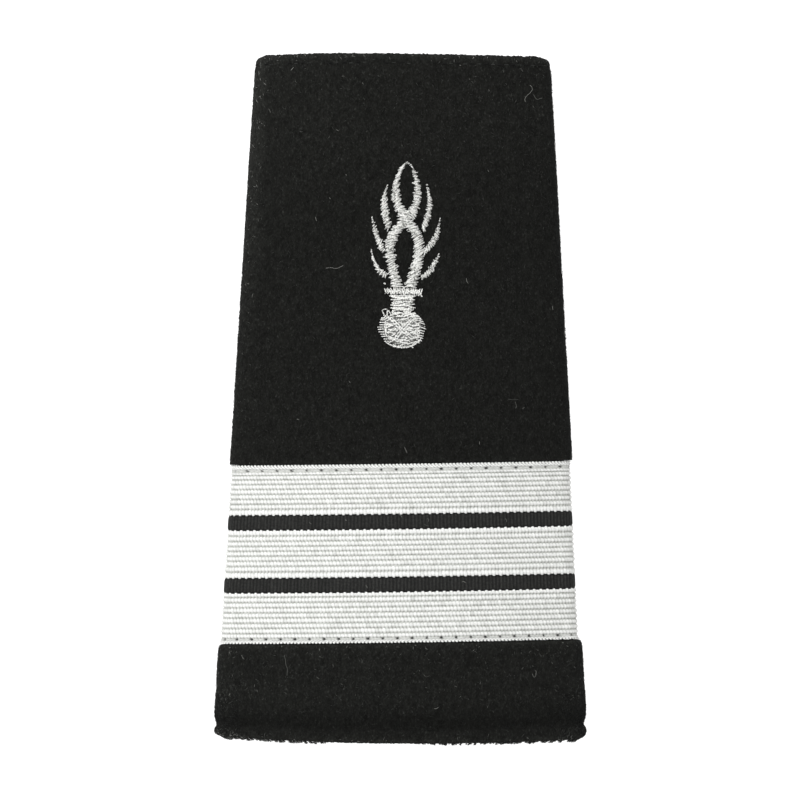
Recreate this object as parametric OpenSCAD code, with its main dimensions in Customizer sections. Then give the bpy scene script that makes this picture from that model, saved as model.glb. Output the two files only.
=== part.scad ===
// Slip-on shoulder board: a folded felt sleeve for a shoulder strap, with a woven rank ribbon
// round it and a flaming grenade embroidered on its face.
// It lies on its back. X runs across, +Y towards the narrow collar end and +Z out of the face.
// The origin is under the middle of the sleeve, on the surface that it lies on.

/* [Sleeve] */
// Length from the wide hem to the narrow end
length = 103.7; // [84:0.1:130]
// Width over the side folds at the wide hem
hem_w = 57; // [50:0.5:66]
// Width over the side folds at the narrow end
top_w = 44.8; // [38:0.2:50]
// Thickness of the felt
felt_t = 2.2; // [2:0.1:2.6]
// Clear height of the strap channel inside the side folds
fold_gap = 0.6; // [0.4:0.1:2]
// Rise of the face from the side folds to its crown
crown_h = 4.6; // [3.5:0.1:7]
// Sideways step of the narrow end from the middle of the hem, to the right
lean = 0.5; // [-2:0.1:2]
// Sideways step of the crown at the narrow end, to the left
crown_shift = 7; // [0:0.5:9]

/* [Edges and seams] */
// Radius of the left corner at the narrow end, seen from above
corner_left = 1.3; // [1:0.1:3]
// Radius of the right corner at the narrow end, seen from above
corner_right = 1.5; // [1:0.1:4]
// Radius of both corners at the hem, seen from above
corner_hem = 1.2; // [1:0.1:1.8]
// Height of the felt lip below the hem's stitch line
lip_h = 2; // [1.8:0.1:4]
// Depth to which the hem's stitch line pulls the felt in
hem_sink = 0.35; // [0.1:0.05:0.7]
// Distance of the top stitch line from the narrow end
top_stitch_in = 1.4; // [0.9:0.1:2.2]
// Depth of the top stitch line
top_sink = 0.15; // [0.05:0.05:0.4]
// Depth to which each cut edge of the felt is rounded off
edge_round = 0.3; // [0.1:0.05:0.5]
// How far the hem's ends are drawn up from its middle
hem_bow = 0.4; // [0:0.05:1]
// Slant of the hem, anticlockwise from above
hem_slant = -0.45; // [-1.5:0.05:1.5]
// Slant of the hem's stitch line, anticlockwise from above
stitch_slant = 0.2; // [-1.5:0.05:1.5]
// Slant of the narrow end, anticlockwise from above
top_slant = -0.3; // [-1.5:0.05:1.5]
// Width of the valley where the felt's edges meet at the back
seam_w = 1.2; // [0.8:0.1:2]
// Depth of that valley
seam_sink = 0.6; // [0.2:0.05:0.8]

/* [Rank ribbon] */
// Height of the plain felt band from the hem to the ribbon
band_h = 15.15; // [10:0.05:20]
// Width of a white bar
bar_w = 7.15; // [5:0.05:8]
// Width of a black stripe between two bars
stripe_w = 2.3; // [1:0.05:3.5]
// Extra width of the woven edge on each outer bar
selvedge_w = 0.45; // [0.2:0.05:1]
// Thickness of a white bar
bar_t = 1; // [0.6:0.05:1.2]
// Thickness of a black stripe
stripe_t = 0.9; // [0.5:0.05:1.2]
// Depth of the bars' surface below the plain felt, where the ribbon presses it in
ribbon_sink = 0.05; // [0.05:0.05:0.2]
// How much the ribbon narrows the left fold
pinch_left = 0.12; // [0:0.01:0.4]
// How much the ribbon narrows the right fold at its lower edge
pinch_right = 0.45; // [0:0.01:0.6]
// Slant of the ribbon, anticlockwise from above
ribbon_slant = 0.8; // [-2:0.1:2]
// How far the ends of the ribbon's lower edge are drawn down from its middle
ribbon_bow = 0.15; // [0:0.05:0.5]

/* [Embroidered grenade] */
// Height of the figure from the foot of the ball to the tip of the flames
figure_h = 28.1; // [24:0.1:32]
// Width of the figure over the side flames
figure_w = 10.8; // [10:0.1:14]
// Distance from the narrow end to the tip of the flames
figure_drop = 16.25; // [8:0.05:24]
// Sideways step of the figure from the middle of the sleeve, to the right
figure_shift = 0.4; // [-3:0.1:3]
// Width of the two long flame strands where they are widest
strand_w = 1.7; // [1.2:0.02:1.8]
// Height of the flame strands over the felt
strand_t = 0.5; // [0.3:0.05:0.8]
// Width of the ball
ball_w = 7; // [5:0.1:8]
// Height of the ball, from its foot to its neck
ball_h = 5.9; // [4:0.1:6.4]
// Thickness of the ball's stitches over the felt
ball_t = 0.75; // [0.4:0.05:1.5]
// Sideways step of the ball from the flames' middle, to the right
ball_shift = -0.4; // [-1:0.1:1]
// Sideways step of the collar from the ball's middle, to the right. The neck takes half of it
collar_shift = 0.2; // [-0.6:0.1:0.6]
// Length of the collar over the ball
collar_w = 5.6; // [4:0.1:7]
// Height of the collar's bar
collar_h = 0.95; // [0.5:0.05:1.1]
// Width of the neck under the collar
neck_w = 3.3; // [2:0.1:4]

/* [Hidden] */

// Clearance between a piece and what it lies on, and between two pieces side by side
seat = 0.05;

// Radius of the outside of a side fold
fold_r = felt_t + fold_gap / 2;
hem_y = -length / 2;
top_y = length / 2;
ribbon_w = 3 * bar_w + 2 * stripe_w + 2 * selvedge_w;
ribbon_lo = hem_y + band_h;
ribbon_hi = ribbon_lo + ribbon_w;
// Depth of the felt's own surface under the ribbon
press_depth = ribbon_sink + max(bar_t, stripe_t) + seat;
// Length over which the felt falls to the ribbon's upper edge
press_h = 0.2;
// Length over which the felt swells below the ribbon
swell_h = 1.6;

// Segments of each side fold and of each half of the face
FOLD_STEPS = 8;
FACE_STEPS = 9;
// Sections of the plain felt between the ribbon and the top stitch line
PLAIN_STEPS = 7;

function mix(a, b, t) = a + (b - a) * t;

// How far a corner of radius r lies inside the straight side, at distance d from the end
function corner(d, r) = d >= r ? 0 : r - sqrt(r * r - (r - d) * (r - d));

// The sleeve's sections, from the hem to the narrow end. Columns: y, depth of the outer face
// below its full form, and how far the left and the right fold are drawn in.
function hem_row(share, sink) = let (
        d = share * lip_h,
        inward = corner(d, corner_hem)
    ) [hem_y + d, share == 0 ? edge_round : sink * hem_sink, inward, inward];
function swell_row(share, sink) =
    [ribbon_lo - share * swell_h, sink * press_depth, sink * pinch_left, sink * pinch_right];
function top_row(share, sink) = let (d = share * top_stitch_in)
    [top_y - d, sink, corner(d, corner_left), corner(d, corner_right)];

plain_lo = ribbon_hi + press_h;
plain_hi = top_y - max(corner_right, 2 * top_stitch_in);
SECTIONS = [
    hem_row(0, 0), hem_row(0.1, 0.2), hem_row(0.3, 0), hem_row(0.6, 0), hem_row(0.85, 0.2),
    hem_row(1, 1), hem_row(1.2, 0.6), hem_row(1.6, 0.15), hem_row(2, 0),
    swell_row(1, 0), swell_row(0.5, 0.06), swell_row(0.2, 0.2), swell_row(0, 1),
    [ribbon_hi, press_depth, pinch_left, pinch_right / 2],
    for (i = [0:PLAIN_STEPS]) [mix(plain_lo, plain_hi, i / PLAIN_STEPS), 0, 0, 0],
    top_row(1, top_sink), top_row(0.6, 0), top_row(0.3, 0.1 * edge_round),
    top_row(0.1, 0.3 * edge_round), top_row(0, edge_round),
];

PINCHES_LEFT = [for (row = SECTIONS) [row[0], row[2]]];
PINCHES_RIGHT = [for (row = SECTIONS) [row[0], row[3]]];
SLANTS = [
    [hem_y, tan(hem_slant)], [hem_y + lip_h, tan(stitch_slant)],
    [ribbon_lo, tan(ribbon_slant)], [ribbon_hi, tan(ribbon_slant)], [top_y, tan(top_slant)],
];
BOWS = [[hem_y, hem_bow], [ribbon_lo, -ribbon_bow], [ribbon_hi, 0]];

function axis_x(y) = lean * (y / length + 0.5);
function half_w(y) = mix(hem_w, top_w, y / length + 0.5) / 2;
function left_x(y) = axis_x(y) - half_w(y) + lookup(y, PINCHES_LEFT);
function right_x(y) = axis_x(y) + half_w(y) - lookup(y, PINCHES_RIGHT);
function crown_x(y) = axis_x(y) - crown_shift * max(0, y / top_y);

// On each side the face falls from the crown on one arc, which runs into the fold's own arc.
// run is the distance across from the crown to the fold's centre.
function face_angle(run) = 2 * atan(crown_h / run);
function face_r(run) = run / sin(face_angle(run));

// Height of the face over a point of the plain felt
function face_z(x, y) = let (
        crown = crown_x(y),
        run = x < crown ? crown - left_x(y) - fold_r : right_x(y) - fold_r - crown,
        r = face_r(run)
    ) fold_r + crown_h - r + sqrt(pow(r + fold_r, 2) - pow(x - crown, 2));

// Points of one fold, round its centre. side is 1 for the right fold and -1 for the left one,
// r its radius, and the angles are measured from straight down.
function fold_points(centre, side, r, from, to, steps) = [for (i = [0:steps])
    let (a = mix(from, to, i / steps)) [centre + side * r * sin(a), fold_r - r * cos(a)]];

// Points of one half of the face, from the crown outwards
function face_points(crown, side, r, run) = [for (i = [0:FACE_STEPS - 1]) let (
        a = face_angle(run) * i / FACE_STEPS,
        big_r = face_r(run)
    ) [crown + side * (big_r + r) * sin(a), fold_r + crown_h - big_r + (big_r + r) * cos(a)]];

function backwards(list) = [for (i = [len(list) - 1:-1:0]) list[i]];

// One section's outline as [x, z] points, from the seam at the middle of the back to the right and round
// to the seam again. depth is how far inside the outer face it runs.
function outline(y, depth, seam_depth, seam_half) = let (
        r = fold_r - depth,
        left = left_x(y) + fold_r,
        right = right_x(y) - fold_r,
        crown = crown_x(y),
        seam = axis_x(y),
        right_end = 180 - face_angle(right - crown),
        left_end = 180 - face_angle(crown - left)
    ) [
        [seam + seam_half / 4, depth + seam_depth],
        [seam + seam_half, depth],
        each fold_points(right, 1, r, 0, right_end, FOLD_STEPS),
        for (i = [FACE_STEPS - 1:-1:1]) face_points(crown, 1, r, right - crown)[i],
        each face_points(crown, -1, r, crown - left),
        each fold_points(left, -1, r, left_end, 0, FOLD_STEPS),
        [seam - seam_half, depth],
        [seam - seam_half / 4, depth + seam_depth],
    ];

// Puts an outline into its section, which slants and bows a little
function placed(y, points) = [for (p = points)
    [p[0], y + p[0] * lookup(y, SLANTS) + lookup(y, BOWS) * pow(p[0] / half_w(y), 2), p[1]]];

function columns(rings) = [for (j = [0:len(rings[0]) - 1]) [for (ring = rings) ring[j]]];
function middle(ring) = [for (column = columns(ring)) column * [for (value = column) 1] / len(ring)];

// A solid through rings of equally many points, each ring clockwise as seen from the ring after it.
// Its ends are closed with a fan round a middle point, or joined to each other.
module sweep(rings, closed = false) {
    n = len(rings[0]);
    last = len(rings) - 1;
    side = [for (i = [0:closed ? last : last - 1], j = [0:n - 1]) let (
            a = i * n + j,
            b = i * n + (j + 1) % n,
            c = (i + 1) % len(rings) * n + (j + 1) % n,
            d = (i + 1) % len(rings) * n + j
        ) each [[a, b, c], [a, c, d]]];
    foot = len(rings) * n;
    ends = closed ? [] : [for (j = [0:n - 1])
        each [[foot, (j + 1) % n, j], [foot + 1, last * n + j, last * n + (j + 1) % n]]];
    points = [for (ring = rings) each ring];
    polyhedron(closed ? points : [each points, middle(rings[0]), middle(rings[last])], concat(side, ends));
}

// The felt, folded round so that its two edges meet at the middle of the back
module felt_sleeve() {
    outer = [for (row = SECTIONS) placed(row[0], outline(row[0], row[1], seam_sink, seam_w / 2))];
    inner = [for (row = SECTIONS) placed(row[0], outline(row[0], felt_t, 0, seam_w / 2))];
    color([0.09, 0.09, 0.09]) sweep(columns(concat(inner, backwards(outer))), closed = true);
}

// One woven strip of the ribbon, from lo to hi above the ribbon's lower edge. It runs round the
// sleeve on the pressed felt, and its ends meet at the seam.
module strip(lo, hi, thickness) {
    y_lo = ribbon_lo + lo + seat;
    y_hi = ribbon_lo + hi - seat;
    inside = press_depth - seat;
    sweep(columns([
        placed(y_lo, outline(y_lo, inside, 0, seam_w)),
        placed(y_hi, outline(y_hi, inside, 0, seam_w)),
        placed(y_hi, outline(y_hi, inside - thickness, 0, seam_w)),
        placed(y_lo, outline(y_lo, inside - thickness, 0, seam_w)),
    ]));
}

// The outer bars end in a woven edge, so they are a little wider than the middle one
module white_bar(number) {
    lo = number == 1 ? 0 : selvedge_w + (number - 1) * (bar_w + stripe_w);
    hi = number == 3 ? ribbon_w : selvedge_w + number * bar_w + (number - 1) * stripe_w;
    color([0.93, 0.93, 0.9]) strip(lo, hi, bar_t);
}

module black_stripe(number) {
    lo = selvedge_w + number * bar_w + (number - 1) * stripe_w;
    color([0.13, 0.13, 0.13]) strip(lo, lo + stripe_w, stripe_t);
}

silver = [0.8, 0.8, 0.78];
figure_y = top_y - figure_drop - figure_h;
figure_x = axis_x(figure_y + figure_h / 2) + figure_shift;

// Smooth curve through a list of rows, with n steps between two rows
function curve_point(a, b, c, d, t) =
    b + t * ((c - a) / 2 + t * ((2 * a - 5 * b + 4 * c - d) / 2 + t * (3 * b - a - 3 * c + d) / 2));
function curve(rows, n) = let (last = len(rows) - 1) [
    for (i = [0:last - 1], k = [0:n - 1])
        curve_point(rows[max(i - 1, 0)], rows[i], rows[i + 1], rows[min(i + 2, last)], k / n),
    rows[last],
];
CURVE_STEPS = 3;

// Cross-section of a strand, clockwise: share of its half width, share of its height
STRAND_FORM = [[1, 0], [0.85, 0.65], [0, 1], [-0.85, 0.65], [-1, 0]];

// A tapering strand of satin stitch. Columns of its rows: x as a share of half the figure's width,
// y as a share of its height, and width as a share of strand_w. Columns of lifts: y as a share of
// the figure's height, and how far the strand is lifted there, as a share of a strand's height.
module strand(rows, lifts = [[0, 0], [1, 0]]) {
    line = curve(rows, CURVE_STEPS);
    last = len(line) - 1;
    to_mm = [figure_w / 2, figure_h];
    function at(i) = [figure_x + line[i][0] * to_mm[0], figure_y + line[i][1] * to_mm[1]];
    color(silver) sweep([for (i = [0:last]) let (
            along = at(min(i + 1, last)) - at(max(i - 1, 0)),
            across = [along[1], -along[0]] / norm(along) * line[i][2] * strand_w / 2,
            lift = lookup(line[i][1], lifts) * (strand_t + seat),
            height = strand_t * sqrt(line[i][2])
        ) [for (form = STRAND_FORM) let (p = at(i) + across * form[0])
            [p[0], p[1], face_z(p[0], p[1]) + seat + lift + form[1] * height]]]);
}

// The two long strands, from the collar up. They cross once, and the second passes over the first.
UNDER_STRAND = [
    [-0.205, 0.327, 1.17], [-0.22, 0.345, 1.15], [-0.26, 0.372, 1.1], [-0.345, 0.435, 0.98],
    [-0.405, 0.524, 0.98], [-0.32, 0.604, 1], [0, 0.687, 1], [0.22, 0.746, 1], [0.35, 0.813, 0.8],
    [0.32, 0.877, 0.63], [0.25, 0.949, 0.38], [0.18, 0.985, 0.12],
];
OVER_STRAND = [
    [0.18, 0.327, 1.16], [0.19, 0.345, 1.15], [0.21, 0.366, 1.12], [0.3, 0.426, 1.07],
    [0.39, 0.513, 1.05], [0.35, 0.591, 1], [0.22, 0.636, 1], [0.04, 0.684, 1], [-0.06, 0.722, 1],
    [-0.15, 0.764, 0.95], [-0.25, 0.829, 0.74], [-0.22, 0.901, 0.53], [-0.07, 0.969, 0.39],
    [0.05, 0.995, 0.12],
];
CROSSING = [[0.57, 0], [0.62, 1.05], [0.75, 1.05], [0.8, 0]];

// The side flames, from the tip down to the foot, which stands against a long strand
LEFT_HIGH = [
    [-0.47, 0.881, 0.09], [-0.55, 0.834, 0.26], [-0.58, 0.775, 0.6], [-0.54, 0.717, 0.7],
    [-0.465, 0.664, 0.66], [-0.435, 0.646, 0.56],
];
LEFT_MID = [
    [-0.91, 0.707, 0.09], [-0.86, 0.658, 0.26], [-0.79, 0.61, 0.5], [-0.71, 0.566, 0.58],
    [-0.635, 0.535, 0.5],
];
LEFT_LOW = [
    [-0.93, 0.529, 0.09], [-0.89, 0.492, 0.28], [-0.8, 0.447, 0.44], [-0.69, 0.413, 0.53],
    [-0.58, 0.396, 0.5],
];
RIGHT_HIGH = [
    [0.61, 0.881, 0.09], [0.66, 0.834, 0.32], [0.69, 0.773, 0.48], [0.65, 0.711, 0.62],
    [0.55, 0.66, 0.58], [0.51, 0.638, 0.5],
];
RIGHT_MID = [
    [0.98, 0.698, 0.09], [0.95, 0.652, 0.26], [0.86, 0.596, 0.56], [0.74, 0.56, 0.6],
    [0.63, 0.533, 0.52],
];
RIGHT_LOW = [
    [0.96, 0.513, 0.09], [0.9, 0.481, 0.26], [0.8, 0.441, 0.44], [0.66, 0.408, 0.5],
    [0.55, 0.391, 0.46],
];

// A low pad of stitches with a rounded edge. Its outline is given as [x, y] points clockwise round
// [cx, cy]. Columns of its form: share of the outline, share of its height.
PAD_FORM = [[0.5, 0], [1, 0], [0.97, 0.45], [0.85, 0.75], [0.5, 0.95]];
module pad(cx, cy, points, height) {
    color(silver) sweep([for (form = PAD_FORM) [for (p = points) let (
            x = cx + p[0] * form[0],
            y = cy + p[1] * form[0]
        ) [x, y, face_z(x, y) + seat + form[1] * height]]]);
}

BALL_STEPS = 24;
ball_x = figure_x + ball_shift;
ball_top = figure_y + ball_h;
module grenade_ball() {
    points = [for (i = [0:BALL_STEPS - 1]) let (a = -360 * i / BALL_STEPS)
        [ball_w / 2 * cos(a), ball_h / 2 * sin(a)]];
    pad(ball_x, ball_top - ball_h / 2, points, ball_t);
}

// The collar's bar lies close below the feet of the long strands, whose ends are a little slanted
foot_gap = 0.18;
flames_foot = figure_y + UNDER_STRAND[0][1] * figure_h;
collar_y = flames_foot - foot_gap - collar_h / 2;
module grenade_collar() {
    half = collar_w / 2;
    rise = collar_h / 2;
    right_half = [[0.4, 1], [0.93, 1], [1, 0], [0.93, -1], [0.4, -1]];
    left_half = [for (p = right_half) [-p[0], -p[1]]];
    points = [for (p = concat([[0, 1]], right_half, [[0, -1]], left_half)) [p[0] * half, p[1] * rise]];
    pad(ball_x + collar_shift, collar_y, points, strand_t);
}

// The neck fills the height between the ball and the collar, and is narrower at its waist and foot
waist_share = 0.86;
module grenade_neck() {
    foot = ball_top + seat;
    head = collar_y - collar_h / 2 - seat;
    rise = (head - foot) / 2;
    half = neck_w / 2;
    waist = waist_share * half;
    points = [
        [half, rise], [waist, 0], [waist, -rise], [0, -rise],
        [-waist, -rise], [-waist, 0], [-half, rise], [0, rise],
    ];
    pad(ball_x + collar_shift / 2, (foot + head) / 2, points, strand_t);
}

felt_sleeve();
white_bar(1);  // white_bar_1
black_stripe(1);  // black_stripe_1
white_bar(2);  // white_bar_2
black_stripe(2);  // black_stripe_2
white_bar(3);  // white_bar_3
grenade_ball();
grenade_neck();
grenade_collar();
strand(UNDER_STRAND);  // flame_strand_under
strand(OVER_STRAND, CROSSING);  // flame_strand_over
strand(LEFT_HIGH);  // side_flame_left_high
strand(LEFT_MID);  // side_flame_left_mid
strand(LEFT_LOW);  // side_flame_left_low
strand(RIGHT_HIGH);  // side_flame_right_high
strand(RIGHT_MID);  // side_flame_right_mid
strand(RIGHT_LOW);  // side_flame_right_low
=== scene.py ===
"""A slip-on shoulder board: a folded felt sleeve, a woven rank ribbon and an embroidered grenade.

The CAD solids give the shape and the place of everything here. The script dresses them: felt with
its nap and stitch lines, a ribbed ribbon, and embroidery laid in single threads. Lengths are in
metres.
"""
import math

import bpy
import numpy as np
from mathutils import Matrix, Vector


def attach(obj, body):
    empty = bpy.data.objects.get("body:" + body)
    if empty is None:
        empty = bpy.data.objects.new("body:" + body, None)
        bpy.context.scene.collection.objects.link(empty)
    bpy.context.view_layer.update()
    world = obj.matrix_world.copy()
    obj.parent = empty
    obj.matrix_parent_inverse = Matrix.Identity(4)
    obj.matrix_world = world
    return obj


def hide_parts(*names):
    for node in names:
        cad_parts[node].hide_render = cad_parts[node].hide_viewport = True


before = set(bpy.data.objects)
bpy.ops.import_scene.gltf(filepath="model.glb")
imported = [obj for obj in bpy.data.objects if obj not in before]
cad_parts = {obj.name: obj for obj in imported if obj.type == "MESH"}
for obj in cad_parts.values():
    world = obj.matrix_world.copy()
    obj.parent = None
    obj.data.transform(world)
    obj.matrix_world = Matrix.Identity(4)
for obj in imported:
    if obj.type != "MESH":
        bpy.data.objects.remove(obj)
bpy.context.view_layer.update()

MM = 0.001
rng = np.random.default_rng(4469)

# The sleeve, as in the CAD source
LENGTH = 103.7 * MM
HEM_W = 57 * MM
TOP_W = 44.8 * MM
FELT_T = 2.2 * MM
FOLD_R = 2.5 * MM
CROWN_H = 4.6 * MM
LEAN = 0.5 * MM
CROWN_SHIFT = 7 * MM
HEM_Y = -LENGTH / 2
TOP_Y = LENGTH / 2
CORNER_LEFT = 1.3 * MM
CORNER_RIGHT = 1.5 * MM
CORNER_HEM = 1.2 * MM
LIP_H = 2 * MM
HEM_SINK = 0.35 * MM
TOP_LINE = TOP_Y - 1.4 * MM
TOP_SINK = 0.15 * MM
EDGE_ROUND = 0.3 * MM
HEM_BOW = 0.4 * MM
HEM_SLANT = math.tan(math.radians(-0.45))
STITCH_SLANT = math.tan(math.radians(0.2))
TOP_SLANT = math.tan(math.radians(-0.3))
SEAM_W = 1.2 * MM
SEAM_SINK = 0.6 * MM

# The rank ribbon
BAR_W = 7.15 * MM
STRIPE_W = 2.3 * MM
SELVEDGE_W = 0.45 * MM
BAR_T = 1 * MM
STRIPE_T = 0.9 * MM
SEAT = 0.05 * MM
RIBBON_SINK = 0.05 * MM
RIBBON_LO = HEM_Y + 15.15 * MM
RIBBON_W = 3 * BAR_W + 2 * STRIPE_W + 2 * SELVEDGE_W
RIBBON_HI = RIBBON_LO + RIBBON_W
RIBBON_SLANT = math.tan(math.radians(0.8))
RIBBON_BOW = 0.15 * MM
PRESS_DEPTH = RIBBON_SINK + BAR_T + SEAT
PINCH_LEFT = 0.12 * MM
PINCH_RIGHT = 0.45 * MM
SWELL_H = 1.6 * MM
# Only on the skin: how far the lip's ends, and the felt over the hem on the left, are drawn in
LIP_IN = 0.14 * MM
LOW_IN = 0.12 * MM


# The sleeve's surface

def smooth(x):
    """0 below 0, 1 above 1, with no corner between."""
    x = np.clip(x, 0, 1)
    return x * x * (3 - 2 * x)


def corner(d, r):
    """How far a corner of radius r lies inside the straight side, at distance d from the end."""
    inside = np.clip(r - d, 0, r)
    return r - np.sqrt(r * r - inside * inside)


def groove(d, below, above):
    """1 on a stitch line, falling away within the two distances below and above it."""
    return np.exp(-(d / np.where(d < 0, below, above)) ** 2)


def under_ribbon(y):
    """1 under the ribbon, where it presses the felt in, and 0 on the plain felt."""
    below = np.exp(-np.maximum(RIBBON_LO - y, 0) / (0.22 * SWELL_H))
    return np.where(y < RIBBON_LO, 0.35 * below, 1.0) * (y < RIBBON_HI)


def felt_depth(y):
    """Depth of the felt's outer face below its full form."""
    ends = corner(np.minimum(y - HEM_Y, TOP_Y - y), EDGE_ROUND)
    hem = HEM_SINK * groove(y - HEM_Y - LIP_H, 0.45 * MM, 1.3 * MM)
    top = TOP_SINK * groove(TOP_LINE - y, 0.4 * MM, 0.4 * MM)
    return ends + hem + top + PRESS_DEPTH * under_ribbon(y)


def pinch(y, side):
    """How far the side fold is drawn in. side is -1 on the left and 1 on the right."""
    up_ribbon = np.clip((y - RIBBON_LO) / RIBBON_W, 0, 1)
    ribbon = np.where(side < 0, PINCH_LEFT, PINCH_RIGHT * (1 - 0.5 * up_ribbon))
    below = 0.3 * np.exp(-np.maximum(RIBBON_LO - y, 0) / (0.3 * SWELL_H)) * (y < RIBBON_LO)
    swell = np.where((y > RIBBON_LO) & (y < RIBBON_HI), 1, below)
    top = corner(TOP_Y - y, np.where(side < 0, CORNER_LEFT, CORNER_RIGHT))
    lip = LIP_IN * smooth((HEM_Y + LIP_H + 0.9 * MM - y) / (0.8 * MM))
    low = np.where(side < 0, LOW_IN, 0) * smooth((HEM_Y + 12 * MM - y) / (6 * MM))
    return corner(y - HEM_Y, CORNER_HEM) + top + ribbon * swell + lip + low


def axis_x(y):
    return LEAN * (y / LENGTH + 0.5)


def half_w(y):
    return (HEM_W + (TOP_W - HEM_W) * (y / LENGTH + 0.5)) / 2


def crown_x(y):
    return axis_x(y) - CROWN_SHIFT * np.maximum(0, y / TOP_Y)


def side_form(y, side):
    """Centre of the side fold, and radius and angle of the face's arc, on one side of the crown."""
    centre = axis_x(y) + side * (half_w(y) - pinch(y, side) - FOLD_R)
    run = side * (centre - crown_x(y))
    angle = 2 * np.arctan(CROWN_H / run)
    return centre, run / np.sin(angle), angle


def side_lengths(y, side):
    """Lengths of the face, the fold and the back on one side, along the outside of the felt."""
    centre, radius, angle = side_form(y, side)
    return (radius + FOLD_R) * angle, FOLD_R * (math.pi - angle), side * (centre - axis_x(y))


def share_along(y, side, distance):
    """Where a distance from the crown, round the outside, ends: 0-1 face, 1-2 fold, 2-3 back."""
    face, fold, back = side_lengths(y, side)
    return (np.clip(distance / face, 0, 1) + np.clip((distance - face) / fold, 0, 1)
            + np.clip((distance - face - fold) / back, 0, 1))


def wrap(y, along):
    """Side and share of places at distances from the crown, positive to the right."""
    side = np.where(along < 0, -1, 1)
    return side, share_along(y, side, np.abs(along))


def slant(y):
    return np.interp(y, [HEM_Y, HEM_Y + LIP_H, RIBBON_LO, RIBBON_HI, TOP_Y],
                     [HEM_SLANT, STITCH_SLANT, RIBBON_SLANT, RIBBON_SLANT, TOP_SLANT])


def place(y, side, share, depth):
    """Points on the sleeve: depth is how far they lie below the felt's full outer form."""
    y, side, share, depth = np.broadcast_arrays(y, side, share, depth)
    centre, radius, angle = side_form(y, side)
    r = FOLD_R - depth
    on_face = angle * np.clip(share, 0, 1)
    on_fold = (math.pi - angle) * np.clip(share - 1, 0, 1)
    back = np.clip(share - 2, 0, 1)
    crown = crown_x(y)
    x_face = crown + side * (radius + r) * np.sin(on_face)
    z_face = FOLD_R + CROWN_H - radius + (radius + r) * np.cos(on_face)
    x_fold = centre + side * r * np.sin(angle + on_fold)
    z_fold = FOLD_R + r * np.cos(angle + on_fold)
    x = np.where(share <= 1, x_face, x_fold)
    z = np.where(share <= 1, z_face, z_fold)
    x = np.where(share > 2, centre + (axis_x(y) - centre) * back, x)
    across = x / half_w(y)
    bow = np.interp(y, [HEM_Y, RIBBON_LO, RIBBON_HI], [HEM_BOW, -RIBBON_BOW, 0])
    return np.stack([x, y + x * slant(y) + bow * across * across, z], -1)


def on_felt(xy, height):
    """Points at a height over the plain felt's face."""
    x, y = xy[..., 0], xy[..., 1]
    crown = crown_x(y)
    radius = side_form(y, np.where(x < crown, -1, 1))[1]
    z = FOLD_R + CROWN_H - radius + np.sqrt((radius + FOLD_R) ** 2 - (x - crown) ** 2)
    return np.concatenate([xy, (z + height)[..., None]], -1)


def waves(points, wavelength, seed):
    """Smooth random unevenness of about that wavelength over points, mostly from -1 to 1."""
    count = 18
    draw = np.random.default_rng(seed)
    direction = draw.normal(size=(count, points.shape[-1]))
    direction /= np.linalg.norm(direction, axis=1)[:, None]
    direction *= 2 * math.pi / (wavelength * draw.uniform(0.7, 1.5, count))[:, None]
    phase = draw.uniform(0, 2 * math.pi, count)
    total = sum(np.sin(points @ d + p) for d, p in zip(direction, phase))
    return total * math.sqrt(0.5 / count)


# Polylines

def run_along(points):
    """Distance run up to each point of polylines, whose points are the last axis but one."""
    steps = np.linalg.norm(np.diff(points, axis=-2), axis=-1)
    return np.concatenate([0 * steps[..., :1], np.cumsum(steps, -1)], -1)


def read_off(at, run, *columns):
    """Columns of numbers read off at places along a run, side by side."""
    return np.stack([np.interp(at, run, column) for column in columns], -1)


def even_points(row, count):
    """Evenly spaced points along a polyline."""
    run = run_along(row)
    return read_off(np.linspace(0, run[-1], count), run, *np.transpose(row))


# Meshes

def add_object(name, data):
    thing = bpy.data.objects.new(name, data)
    bpy.context.scene.collection.objects.link(thing)
    return thing


def new_piece(name, verts, faces, slot, material, replaces=(), **values):
    """A mesh piece. faces are arrays, each of faces with equally many corners, and values are
    numbers for equally long runs of vertices."""
    verts = np.reshape(verts, (-1, 3))
    corners = np.concatenate([np.ravel(f) for f in faces]).astype(np.int32)
    sizes = np.concatenate([np.full(len(f), f.shape[1], np.int32) for f in faces])
    mesh = bpy.data.meshes.new(name)
    mesh.vertices.add(len(verts))
    mesh.vertices.foreach_set("co", verts.astype(np.float32).ravel())
    mesh.loops.add(len(corners))
    mesh.loops.foreach_set("vertex_index", corners)
    mesh.polygons.add(len(sizes))
    mesh.polygons.foreach_set("loop_start", np.cumsum(sizes, dtype=np.int32) - sizes)
    mesh.update(calc_edges=True)
    mesh.validate()
    mesh.polygons.foreach_set("use_smooth", np.full(len(sizes), True))
    for key, value in values.items():
        runs = np.repeat(np.ravel(value), len(verts) // np.size(value))
        mesh.attributes.new(key, "FLOAT", "POINT").data.foreach_set("value", runs.astype(np.float32))
    mesh.materials.append(material)
    piece = add_object(name, mesh)
    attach(piece, "root")
    if replaces:
        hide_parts(*replaces)
    return piece


def grid_faces(rows, columns, close_rows=False):
    """Quads of a grid of points, stored row by row, whose rows are closed rings."""
    i = np.arange(rows if close_rows else rows - 1)[:, None]
    j = np.arange(columns)[None, :]
    k, m = (i + 1) % rows, (j + 1) % columns
    quads = [i * columns + j, i * columns + m, k * columns + m, k * columns + j]
    return np.stack(np.broadcast_arrays(*quads), -1).reshape(-1, 4)


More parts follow.
